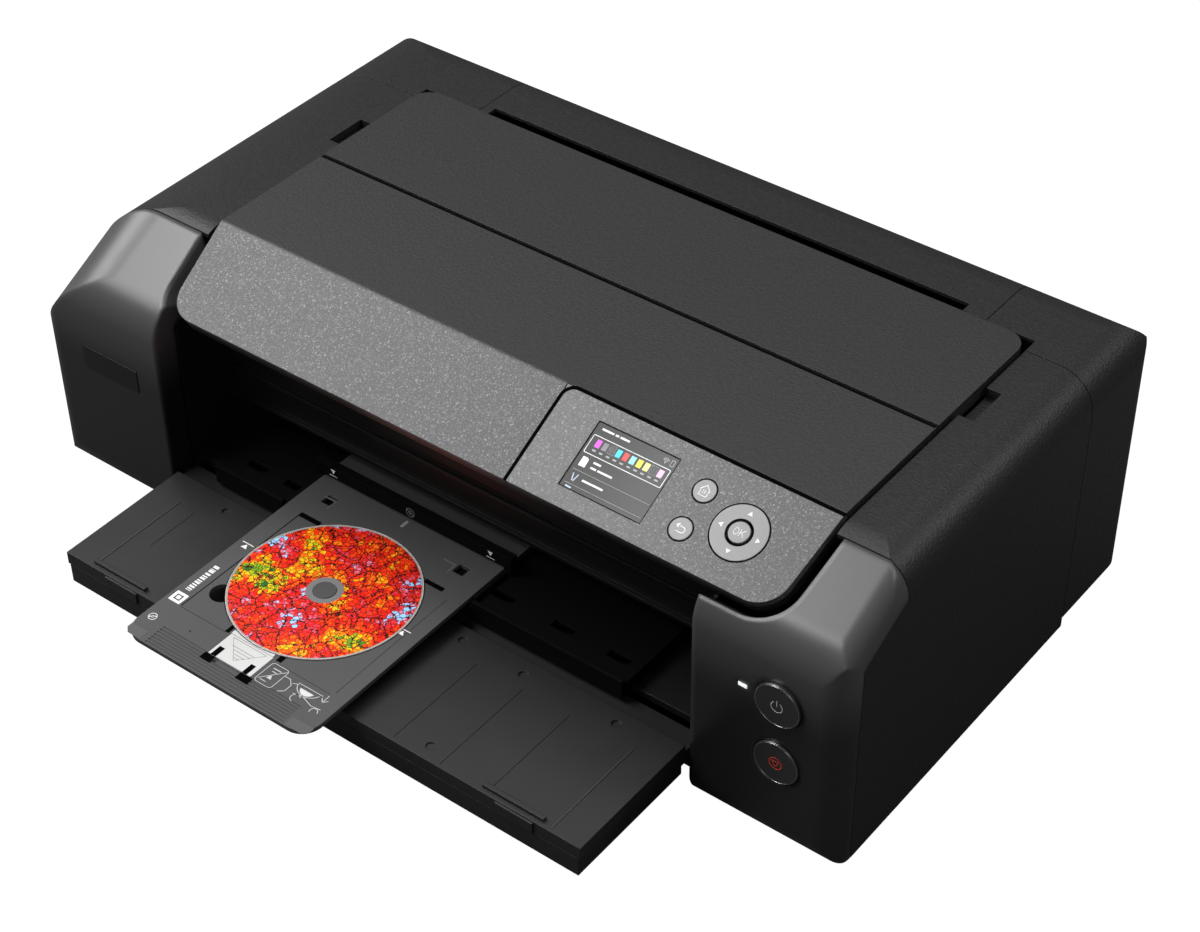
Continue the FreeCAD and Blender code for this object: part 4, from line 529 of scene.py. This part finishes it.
SPECIAL = {
    "left_cheek_cover": CHEEKS, "right_cheek_cover": CHEEKS,
    "access_cover": sloping_cover("lid_cover", True),
    "rear_tray_cover": LEATHER,
    "disc_tray_guide": moulded("guide_black", (0.003, 0.003, 0.0031), 0.5, 0.04),
    "output_tray": OUTPUT_GREY,
    "output_tray_extension": moulded("extension_grey", (0.01, 0.01, 0.0102), 0.42, 0.35),
    "front_plate": moulded("plate_black", (0.003, 0.003, 0.003), 0.3, 0.4),
    "power_button": spun("power_metal", POWER),
    "stop_button": spun("stop_metal", STOP),
}
slot_of = {part["node"]: part["material_slot"] for part in frame["record"]["subparts"]}
for node, thing in frame["nodes"].items():
    thing.data.materials.clear()
    thing.data.materials.append(SPECIAL.get(node) or FINISHES[slot_of[node]])

# ------------------------------------------------------------------ marks


class Flat:
    """A flat place on the object, measured in millimetres across and up from its origin."""

    def __init__(self, depth, z, up=(0, 1, 0)):
        self.origin = Vector((PAPER_LINE, FRONT + depth, z))
        self.across = Vector((1, 0, 0))
        self.up = Vector(up)
        self.out = self.across.cross(self.up)

    def point(self, a, b, lift=0.0):
        return (self.origin + self.across * a + self.up * b + self.out * lift) * MM


TRAY_TOP = 58.3
TRAY = Flat(0, TRAY_TOP)
OUT_TRAY = Flat(0, 47.0)
BAR = Flat(44, 0, (0, 0, 1))
SLOPE = Flat(*SLOPE_TOP, (0, cos(SLOPE_ANGLE), sin(SLOPE_ANGLE)))
TOP = Flat(0, SLOPE_TOP[1])
FRONT_FACE = (0, 0, 1)              # which way is up on an upright place


def circle(a, b, radius, count=40, start=0.0, turn=2 * pi, squash=1.0):
    """Points round a centre; a full turn is closed, a part of one has both its ends."""
    steps = count if isclose(turn, 2 * pi) else count - 1
    angles = [start + turn * i / steps for i in range(count)]
    return [(a + squash * radius * cos(angle), b + radius * sin(angle)) for angle in angles]


def hoop(a, b, radius, width, squash=1.0):
    """A ring, as its outer and inner outlines."""
    return tuple(circle(a, b, radius + side * width / 2, squash=squash) for side in (1, -1))


def bar(a0, b0, a1, b1):
    """A box between two corners."""
    return [(a0, b0), (a1, b0), (a1, b1), (a0, b1)]


def soft_box(a0, b0, a1, b1, radius, count=6):
    """A box with rounded corners."""
    turn = pi / 2
    return (circle(a1 - radius, b1 - radius, radius, count, 0, turn)
            + circle(a0 + radius, b1 - radius, radius, count, turn, turn)
            + circle(a0 + radius, b0 + radius, radius, count, turn * 2, turn)
            + circle(a1 - radius, b0 + radius, radius, count, turn * 3, turn))


SMALLEST_CORNER = 0.05
SHARPEST_MITRE = 0.4                # cosine past which a bend's corner grows no longer


def frame_of(a0, b0, a1, b1, radius, width):
    """A rounded box's outline, drawn as a line."""
    inner = max(radius - width, SMALLEST_CORNER)
    return (soft_box(a0, b0, a1, b1, radius),
            soft_box(a0 + width, b0 + width, a1 - width, b1 - width, inner))


def stroke(points, width):
    """An open line of some width, mitred at its bends."""
    left, right = [], []
    for i, (a, b) in enumerate(points):
        ahead = points[min(i + 1, len(points) - 1)]
        behind = points[max(i - 1, 0)]
        run_in = Vector((a - behind[0], b - behind[1])).normalized() if i else None
        run_out = Vector((ahead[0] - a, ahead[1] - b)).normalized() if i < len(points) - 1 else None
        along = ((run_in or run_out) + (run_out or run_in)).normalized()
        reach = width / 2 / max(SHARPEST_MITRE, along.dot(run_in or run_out))
        left.append((a - along.y * reach, b + along.x * reach))
        right.append((a + along.y * reach, b - along.x * reach))
    return left + right[::-1]


def mark(name, place, shapes, body, slot, material, thick=0.06, lift=0.0, sink=0.06):
    """Thin pieces on a flat place; each shape is an outline, or an outer and an inner one."""
    form = bmesh.new()
    for shape in shapes:
        loops = shape if isinstance(shape, tuple) else (shape,)
        low, high = (
            [[form.verts.new(place.point(a, b, lift + rise)) for a, b in loop] for loop in loops]
            for rise in (-sink, thick))
        for bottom, top in zip(low, high):
            count = len(top)
            for i in range(count):
                form.faces.new((bottom[i], bottom[(i + 1) % count], top[(i + 1) % count], top[i]))
        for layer in (low, high):
            if len(layer) == 1:
                form.faces.new(layer[0])
                continue
            outer, inner = layer
            count = len(outer)
            for i in range(count):
                form.faces.new((outer[i], outer[(i + 1) % count], inner[(i + 1) % count], inner[i]))
    bmesh.ops.recalc_face_normals(form, faces=form.faces[:])
    return piece(name, form, body, material)


def piece(name, form, body, material, smooth=False):
    """Turns a finished mesh form into a piece that rides on a body."""
    mesh = bpy.data.meshes.new(name)
    form.to_mesh(mesh)
    form.free()
    for face in mesh.polygons:
        face.use_smooth = smooth
    mesh.materials.append(material)
    made = bpy.data.objects.new(name, mesh)
    bpy.context.scene.collection.objects.link(made)
    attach(made, body)
    return made


def bead(name, place, a, b, radius, thickness, body, slot, material, lift=0.0, count=64, around=10):
    """A round bead bent into a ring."""
    form = bmesh.new()
    rounds = []
    for i in range(count):
        turn = 2 * pi * i / count
        rounds.append([])
        for j in range(around):
            lean = 2 * pi * j / around
            reach = radius + thickness / 2 * cos(lean)
            rise = lift + thickness / 2 * sin(lean)
            spot = place.point(a + reach * cos(turn), b + reach * sin(turn), rise)
            rounds[-1].append(form.verts.new(spot))
    for i in range(count):
        for j in range(around):
            here, there = rounds[i], rounds[(i + 1) % count]
            form.faces.new((here[j], there[j], there[(j + 1) % around], here[(j + 1) % around]))
    bmesh.ops.recalc_face_normals(form, faces=form.faces[:])
    return piece(name, form, body, material, smooth=True)


INK_GRAIN = 0.004 * MM
GLASS_GRAIN = 0.002 * MM


def ink(name, colour, roughness=0.5, specular=0.3, depth=INK_GRAIN):
    """A thin print: moulded plastic with hardly any grain."""
    return moulded(name, colour, roughness, specular, depth)


WHITE_INK = ink("white_ink", (0.75, 0.75, 0.74))
GREY_INK = ink("grey_ink", (0.22, 0.22, 0.22))
ICON_INK = ink("icon_ink", (0.5, 0.5, 0.5))
# Near-black ink for painted shade in seams, grooves, gaps and notches.
SHADE_BLACK = ink("shade_black", (0.002, 0.002, 0.002), 0.9, 0.0)     # it mirrors nothing
# A lighter grey for thin strips and beads that are painted highlights on edges.
EDGE_HIGHLIGHT_GREY = ink("edge_highlight_grey", (0.10, 0.10, 0.101), 0.35, 0.4, 0.01 * MM)
RED_INK = ink("red_ink", (0.75, 0.045, 0.02), 0.4)

# ---------------------------------------------------- marks on the disc tray

RACK = "disc_tray"
CLIP = "disc_tray_clip"
DISC = "label_disc"
ICON_LINE = 0.45                    # widths of drawn lines
HAIR_LINE = 0.25
FLUSH = 0.03                        # how far the flattest prints rise


def white_mark(name, shapes, body=RACK, place=TRAY, material=WHITE_INK, **heights):
    mark(name, place, shapes, body, "white_plastic", material, **heights)


# Marks in painted shade, for seams, grooves and gaps.
def black_mark(name, shapes, body=RACK, place=TRAY, **heights):
    mark(name, place, shapes, body, "dark_plastic", SHADE_BLACK, **heights)


def grey_mark(name, shapes, body=RACK, material=GREY_INK, **heights):
    mark(name, TRAY, shapes, body, "grey_plastic", material, **heights)


WHEEL = (-93.1, -114.8)             # a round sign with two spokes
spokes = [stroke([(WHEEL[0] + side * 0.9, WHEEL[1] + side * 1.1),
                  (WHEEL[0] + side * 2.5, WHEEL[1] + side * 0.9)], 0.8) for side in (-1, 1)]
white_mark("tray_icon", [hoop(*WHEEL, 2.7, 0.5), hoop(*WHEEL, 0.8, 0.4)] + spokes)
white_mark("tray_square", [frame_of(-97.3, -98, -88.1, -89, 0.6, 2.1),
                           soft_box(-94.2, -95, -91.2, -92, 0.4)])

BARS_LEFT, BARS_RIGHT, BARS_NEAR = -95.0, -91.0, -85.6
BAR_STEPS = (0, 1.3, 3.1, 4.2, 5.6, 7.6, 8.8, 10.0, 12.2, 13.3, 14.6, 16.7, 17.8, 19.6, 20.8, 22.2,
             24.0, 25.2)
bars = []
for index, bar_step in enumerate(BAR_STEPS):
    near = BARS_NEAR + bar_step
    bars.append(bar(BARS_LEFT, near, BARS_RIGHT, near + (1.0 if index % 3 else 0.6)))
white_mark("tray_bars", bars)

LIMIT_LINE = (-33.2, -32.5)         # the depth of the limit line's two edges
LIMIT_REACH = 4.6
ARROW_HALF = 2.4
ARROW_DEPTH = (-37.4, -33.8)        # its foot and its tip
for side, x in (("left", -92.6), ("right", 35.2)):
    arrow = [(x - ARROW_HALF, ARROW_DEPTH[0]), (x + ARROW_HALF, ARROW_DEPTH[0]), (x, ARROW_DEPTH[1])]
    white_mark("tray_limit_" + side,
               [bar(x - LIMIT_REACH, LIMIT_LINE[0], x + LIMIT_REACH, LIMIT_LINE[1]), arrow])

corners = [[(-99.0, -125.5), (-99.0, -130.0), (-95.5, -133.4), (-85.6, -133.6), (-85.6, -125.5)],
           [(31.2, -125.5), (31.2, -133.6), (44.0, -133.4), (47.4, -130.0), (47.4, -125.5)]]
mark("tray_corners", TRAY, corners, RACK, "tray_plastic",
     moulded("corner_grey", (0.066, 0.066, 0.067), 0.5, 0.3), thick=0.04)

# Seams, slots and a small hole in the tray, drawn in painted shade.
black_mark("tray_lines", [
    stroke([(-86.2, -97.7), (-86.2, 9.1)], 0.7),
    bar(-86.4, 5.4, -69.5, 9.3),
    bar(16.0, 5.8, 31.0, 9.3),
    bar(-49.8, -98.0, -46.8, -90.6),
    bar(-8.6, -98.0, -4.6, -91.6),
    stroke([(-85.9, -98.4), (-47.8, -98.4)], HAIR_LINE),
    stroke([(-4.6, -99.4), (35.6, -99.7)], HAIR_LINE),
    stroke([(38.0, -97.0), (38.0, 2.0)], HAIR_LINE),
    circle(-66.2, -110.6, 0.6, 12),
], thick=FLUSH)
# The edge of the disc's pocket, as a line of painted shade.
arc = [(-68, 8), (-59, 11), (-51.5, 16.4), (-42.7, 21.9), (-30.3, 23.8), (-13.1, 22.4), (-2, 17.5),
       (5, 11.5), (15.4, 8.7)]
black_mark("tray_pocket_line", [stroke(arc, ICON_LINE)], thick=FLUSH)
# Painted highlights along two edges of each window in the tray.
for side, x in (("left", -85.6), ("right", 12.7)):
    edges = [bar(x + 0.2, 28.8, x + 10.0, 30.0), bar(x + 8.9, 21.0, x + 10.0, 28.8)]
    grey_mark("window_edge_highlight_" + side, edges, material=EDGE_HIGHLIGHT_GREY, thick=0.05)
grey_mark("tray_pointer", [bar(-28.8, 36.0, -26.6, 42.6)])

# A generic picture of how a disc goes in: a framed arrow, a bowl under a lid, and two hands.
frame_sign = [
    frame_of(-8.3, -117.6, 5.1, -99.8, 2.4, ICON_LINE),
    stroke([(-7.2, -114.8), (4.2, -101.4)], ICON_LINE),
    stroke([(-4.9, -103.5), (1.2, -103.5)], 0.7),
    stroke([(-3.8, -105.9), (-0.2, -105.9)], 0.6),
    [(-3.3, -111.8), (0.4, -111.8), (-1.4, -108.6)],
    stroke([(-5.5, -114.6), (-1.0, -114.6)], 0.5),
]
BOWL_X = 24.0
bowl_sign = [
    stroke([(5.1, -104.5), (9.5, -104.5), (13.0, -108.0), (13.0, -113.5), (9.6, -116.2)], ICON_LINE),
    stroke(circle(BOWL_X, -101.5, 9.0, 14, pi * 1.12, pi * 0.76), ICON_LINE),
    circle(BOWL_X, -104.6, 5.4, 14, pi * 1.08, pi * 0.84),
    stroke([(15.4, -103.6), (34.0, -103.4)], 0.4),
    stroke([(18.0, -112.0), (24.5, -110.6), (33.5, -113.4), (40.2, -112.6)], ICON_LINE),
    stroke([(12.6, -106.2), (16.2, -104.4)], ICON_LINE),
    stroke([(36.8, -101.0), (36.8, -107.5)], ICON_LINE),
    stroke([(34.4, -104.6), (36.8, -107.5), (39.2, -104.6)], ICON_LINE),
    stroke(circle(21.8, -114.2, 3.0, 10, pi * 0.2, pi * 1.3), ICON_LINE),
    stroke(circle(37.8, -116.0, 2.6, 10, 0, pi * 1.2), ICON_LINE),
]
white_mark("tray_pictogram", frame_sign + bowl_sign,
           material=ink("picture_ink", (0.5, 0.5, 0.495)))

NOSE_LEFT, NOSE_RIGHT, NOSE_FRONT = -45.0, -11.0, -97.2
NOSE_R = 60.7                       # the nose follows the disc's edge this far from its middle
nose = [(NOSE_LEFT, NOSE_FRONT), (NOSE_LEFT, -93.9)]
nose += [(DISC_MIDDLE[0] + NOSE_R * sin(lean), DISC_MIDDLE[1] - NOSE_R * cos(lean))
         for lean in (-0.3, -0.2, -0.1, 0, 0.1, 0.18, 0.24)]
nose += [(NOSE_RIGHT, NOSE_FRONT)]
white_mark("clip_nose", [nose], CLIP, material=FINISHES["white_plastic"], thick=0.5, sink=0.7)
CLIP_LINES = ((-41.7, -98.9, -15.0), (-37.1, -104.2, -20.2), (-34.3, -106.5, -21.7),
              (-31.9, -109.0, -23.6), (-29.9, -111.3, -26.4))   # left, depth and right
CLIP_LINE_WIDTH = 0.4
clip_arrow = stroke([(-41.7, -98.7), (-28.2, -113.4), (-15.0, -98.7)], 0.3)
clip_bars = [bar(left, near, right, near + CLIP_LINE_WIDTH) for left, near, right in CLIP_LINES]
grey_mark("clip_lines", clip_bars + [clip_arrow], CLIP, thick=FLUSH)
# The clip's notches, and the hooks below, are drawn in painted shade.
black_mark("clip_notches",
           [bar(-43.0, -117.1, -39.0, -108.8), bar(-17.6, -117.1, -13.9, -108.8)], CLIP, thick=0.04)
# The hooks lie just above the clip, which slides forward under them.
black_mark("clip_hooks", [bar(-46.2, -123.0, -38.6, -117.8), bar(-17.6, -123.0, -8.4, -117.8)],
           thick=0.3, lift=0.2, sink=0.08)

# A bead round the hub, coloured as a painted highlight on its edge.
bead("disc_hub_edge_highlight", Flat(0, TRAY_TOP + 0.7), *DISC_MIDDLE, 7.0, 0.35, RACK, "grey_plastic",
     EDGE_HIGHLIGHT_GREY)
bead("disc_edge", Flat(0, TRAY_TOP + 0.35), *DISC_MIDDLE, DISC_R - 0.3, 0.55, DISC, "label_print",
     ink("clear_rim", (0.5, 0.47, 0.44), 0.15, 0.5, GLASS_GRAIN), count=128)

# ---------------------------------------------------- marks on the tray's guide

GUIDE_LINE = (61.9, 62.5)           # the heights of the line's two edges
GUIDE_ARROW = (67.2, 63.8)          # the heights of the arrow's foot and tip
for side, x in (("left", -91.0), ("right", 38.0)):
    arrow = [(x - 2.0, GUIDE_ARROW[0]), (x + 2.0, GUIDE_ARROW[0]), (x, GUIDE_ARROW[1])]
    white_mark("guide_mark_" + side, [bar(x - 3.2, GUIDE_LINE[0], x + 3.2, GUIDE_LINE[1]), arrow],
               "printer", BAR)
GUIDE_SIGN = (-26.6, 65.0)
white_mark("guide_icon", [hoop(*GUIDE_SIGN, 3.2, ICON_LINE), hoop(*GUIDE_SIGN, 1.1, 0.4),
                          stroke([(-29.2, 66.8), (-24.0, 63.2)], ICON_LINE)],
           "printer", BAR, GREY_INK)

# ---------------------------------------------------- operation panel

LID = "lid"
GLASS_LIFT = -0.3                   # the screen's face lies this far above the slope
SCREEN_EDGES = (110.8, 12.0, 168.2, 56.0)    # left and top, then right and bottom, down the slope


def down(shape):
    """A shape given in distances down the slope, for a place that measures up it."""
    if isinstance(shape, tuple):
        return tuple(down(loop) for loop in shape)
    return [(a, -b) for a, b in shape]


def on_screen(name, shapes, material):
    mark(name, SLOPE, [down(shape) for shape in shapes], LID, "screen_glass", material,
         thick=0.03, lift=GLASS_LIFT, sink=0.02)


def screen_ink(name, colour):
    return ink(name, colour, 0.3, 0.3, GLASS_GRAIN)


def words(top, *spans):
    """Bars that stand for words, each from one place across to another."""
    return [bar(left, top, right, top + WORD_TALL) for left, right in spans]


SCREEN_WHITE = screen_ink("screen_white", (0.8, 0.8, 0.8))
SCREEN_GREY = screen_ink("screen_grey", (0.36, 0.36, 0.36))
WORD_TALL = 1.2
ROW_LEFT, ROW_RIGHT = 113.0, 166.6
RULE_WIDTH = 0.2
# A border of painted shade round the screen's glass.
on_screen("screen_edge", [frame_of(*SCREEN_EDGES, 0.6, 0.5)], SHADE_BLACK)
on_screen("screen_title", words(15.0, (115.2, 123.6), (124.6, 127.0), (128.0, 134.6)), SCREEN_WHITE)
on_screen("screen_frame", [frame_of(112.6, 20.2, ROW_RIGHT, 32.4, 0.8, ICON_LINE)], SCREEN_WHITE)

INKS = ((0.75, 0.05, 0.75), (0.16, 0.16, 0.17), (0.03, 0.03, 0.03), (0.02, 0.55, 0.75),
        (0.7, 0.03, 0.03), (0.25, 0.65, 0.75), (0.85, 0.75, 0.03), (0.85, 0.82, 0.25),
        (0.035, 0.035, 0.035), (0.8, 0.45, 0.75))
INK_LEFT, INK_STEP, INK_WIDE = 116.6, 4.85, 3.4
INK_TOP, INK_FOOT = 22.2, 27.2
BLACK_INKS = (2, 8)                 # these two get an outline, to show on the dark screen
lefts = [INK_LEFT + index * INK_STEP for index in range(len(INKS))]
for index, (left, colour) in enumerate(zip(lefts, INKS)):
    on_screen("screen_ink_%d" % index, [bar(left, INK_TOP, left + INK_WIDE, INK_FOOT)],
              screen_ink("screen_colour_%d" % index, colour))
on_screen("screen_ticks", [bar(left + 0.4, 28.8, left + 2.8, 29.8) for left in lefts], SCREEN_GREY)
on_screen("screen_bottles",
          [frame_of(lefts[index] - 0.4, INK_TOP - 0.3, lefts[index] + INK_WIDE + 0.4,
                    INK_FOOT + 0.3, 0.2, 0.15) for index in BLACK_INKS], SCREEN_GREY)

PAGE = [(114.6, 34.6), (117.8, 34.6), (119.0, 35.8), (119.0, 40.8), (114.6, 40.8)]
on_screen("screen_page", [PAGE], SCREEN_WHITE)
on_screen("screen_lines", words(35.2, (122.4, 127.6)) + words(38.6, (122.4, 126.4), (127.4, 137.6))
          + words(47.4, (122.4, 137.0)), SCREEN_WHITE)
on_screen("screen_rules", [bar(ROW_LEFT, row, ROW_RIGHT, row + RULE_WIDTH) for row in (43.6, 52.6)],
          SCREEN_GREY)
on_screen("screen_tools", [stroke([(115.2, 46.0), (116.6, 50.6)], 0.7),
                           stroke([(118.6, 46.0), (117.4, 50.6)], 0.7),
                           bar(114.8, 54.2, 119.0, 55.2)],
          screen_ink("screen_blue", (0.4, 0.5, 0.6)))
SIGNAL_X = 160.4
waves = [stroke(circle(SIGNAL_X, 18.0, radius, 8, pi * 1.25, pi * 0.5), 0.4)
         for radius in (1.1, 2.1, 3.1)]
on_screen("screen_signs", waves + [circle(SIGNAL_X, 17.8, 0.4, 10),
                                   frame_of(163.8, 14.4, 166.2, 18.4, 0.4, 0.35)], SCREEN_GREY)

# The groove round the operation panel is a strip of painted shade.
GROOVE_WIDTH = 2.3
PANEL_LEFT = 80.0
PANEL_CORNER = 8.0
groove = [(PANEL_LEFT, 68.0), (PANEL_LEFT, PANEL_CORNER)]
groove += circle(PANEL_LEFT + PANEL_CORNER, PANEL_CORNER, PANEL_CORNER, 9, pi, pi / 2)[1:]
groove += [(262.0, 0.6), (270.5, 0.6)]
black_mark("panel_groove", [down(stroke(groove, GROOVE_WIDTH))], LID, SLOPE, thick=0.12)

LID_REAR = 163.5                    # the depth of the line of painted shade in the seam along the lid's rear edge
LID_LEFT, LID_RIGHT = -195.5, 269.5
LID_LINE_WIDTH = 1.5
black_mark("lid_rear_line", [stroke([(LID_LEFT, LID_REAR), (LID_RIGHT, LID_REAR)], LID_LINE_WIDTH)],
           LID, TOP, thick=0.05)

# ---------------------------------------------------- keys on the panel

NAV = (222.6, 35.4)                 # centres of the keys: across, and down the slope
HOME = (191.2, 22.6)
BACK = (191.2, 48.1)
KEY_LIFT = 0.3                      # how far the keys and the OK key stand above the slope
OK_LIFT = 0.6


def key_mark(name, middle, shapes, body, lift=KEY_LIFT):
    """A white print on a key; its shapes are measured from the key's middle, down the slope."""
    moved = [move(shape, middle) for shape in shapes]
    white_mark(name, [down(shape) for shape in moved], body, SLOPE, thick=0.05, lift=lift)


def move(shape, middle):
    if isinstance(shape, tuple):
        return tuple(move(loop, middle) for loop in shape)
    return [(a + middle[0], b + middle[1]) for a, b in shape]


NAV_REACH, NAV_HALF, NAV_TALL = 11.2, 1.65, 2.6   # from the middle to an arrow's foot; its size
foot, tip = NAV_REACH, NAV_REACH + NAV_TALL
arrows = [[(-NAV_HALF, -foot), (NAV_HALF, -foot), (0, -tip)],
          [(-NAV_HALF, foot), (NAV_HALF, foot), (0, tip)],
          [(-foot, -NAV_HALF), (-foot, NAV_HALF), (-tip, 0)],
          [(foot, -NAV_HALF), (foot, NAV_HALF), (tip, 0)]]
key_mark("nav_arrows", NAV, arrows, "navigation_ring")
key_mark("ok_letters", NAV, [hoop(-1.9, 0, 2.0, ICON_LINE, squash=0.72),
                             stroke([(0.6, -2.2), (0.6, 2.2)], ICON_LINE),
                             stroke([(3.4, -2.2), (0.8, 0.3)], ICON_LINE),
                             stroke([(1.6, -0.5), (3.5, 2.2)], ICON_LINE)], "ok_button", OK_LIFT)
roof = [(-3.3, -0.2), (0, -3.6), (3.3, -0.2)]
house = [(-2.6, -0.4), (-2.6, 3.1), (2.6, 3.1), (2.6, -0.4)]
PANE = 0.8
panes = [bar(a, b, a + PANE, b + PANE) for a in (-1.0, 0.2) for b in (-0.4, 0.8)]
key_mark("home_icon", HOME, [stroke(roof, 0.5), stroke(house, 0.5)] + panes, "home_button")
hook = [(-2.2, -1.5)] + circle(1.2, 0.3, 1.8, 9, -pi / 2, pi) + [(-2.4, 2.1)]
hook_tip = [(-3.6, -1.5), (-1.6, -3.2), (-1.6, 0.2)]
key_mark("back_icon", BACK, [stroke(hook, 0.55), hook_tip], "back_button")

WELL_LINE = 1.2                     # the rings of painted shade in the gaps round the keys
# Rings of painted shade in the gaps round the OK key, the ring and the other keys.
black_mark("ok_well_line", [down(hoop(*NAV, 7.8, 1.1))], "navigation_ring", SLOPE,
           thick=0.05, lift=KEY_LIFT)
for name, middle, radius in (("home", HOME, 7.2), ("back", BACK, 7.2), ("ring", NAV, 17.35)):
    black_mark(name + "_well_line", [down(hoop(*middle, radius, WELL_LINE))], LID, SLOPE, thick=0.05)

# ---------------------------------------------------- front buttons

RIM_R = 14.2
RIM_THICK = 0.7
POWER_DEPTH, STOP_DEPTH = -2.2, -0.8    # of the two faces, against the front face


def button_rim(name, middle, depth):
    """A metal rim round a front button; gives the button's face."""
    face = Flat(depth, 0, FRONT_FACE)
    bead(name + "_rim", face, *middle, RIM_R, RIM_THICK, name + "_button", "zinc_steel",
         metal(name + "_rim_metal", (0.32, 0.32, 0.33), 0.25), lift=-0.1)
    return face


x, z = POWER
RING_GAP = 0.55                     # half the power sign's opening, in radians
power_ring = circle(x, z - 0.4, 3.7, 22, pi / 2 + RING_GAP, 2 * pi - 2 * RING_GAP)
white_mark("power_icon", [stroke(power_ring, 0.55), stroke([(x, z - 0.2), (x, z + 4.3)], 0.55)],
           "power_button", button_rim("power", POWER, POWER_DEPTH), ICON_INK)

x, z = STOP
left, right, low = (x - 2.5, z + 1.5), (x + 2.5, z + 1.5), (x, z - 2.6)
triangle = [stroke(side, ICON_LINE) for side in ([left, right], [left, low], [right, low])]
mark("stop_icon", button_rim("stop", STOP, STOP_DEPTH), [hoop(x, z, 4.1, 0.5)] + triangle,
     "stop_button", "label_print", RED_INK)

# ---------------------------------------------------- output tray details

OUT = "output_tray"
FLOOR_NEAR, FLOOR_FAR = -95.5, -20.5    # the depths between which the tray's floor shows
CREASE_WIDTH, RIDGE_WIDTH = 0.35, 0.9
# The creases in the floor are thin strips of painted shade.
creases = [stroke([(x, FLOOR_NEAR), (x, FLOOR_FAR)], CREASE_WIDTH) for x in (80.0, 115.0, 150.0)]
creases.append(stroke([(-150.0, -62.0), (-150.0, -24.0)], CREASE_WIDTH))
black_mark("tray_creases", creases, OUT, OUT_TRAY, thick=0.02)
# Two raised ridges, painted a lighter grey as their highlight.
ridges = [stroke([(x, FLOOR_NEAR), (x, FLOOR_FAR)], RIDGE_WIDTH) for x in (195.5, -165.0)]
mark("tray_ridge", OUT_TRAY, ridges, OUT, "tray_plastic",
     moulded("ridge_highlight_grey", (0.028, 0.028, 0.0283), 0.4, 0.4), thick=0.35)

# ------------------------------------------------------------------ end

bpy.context.scene.view_settings.view_transform = "Standard"
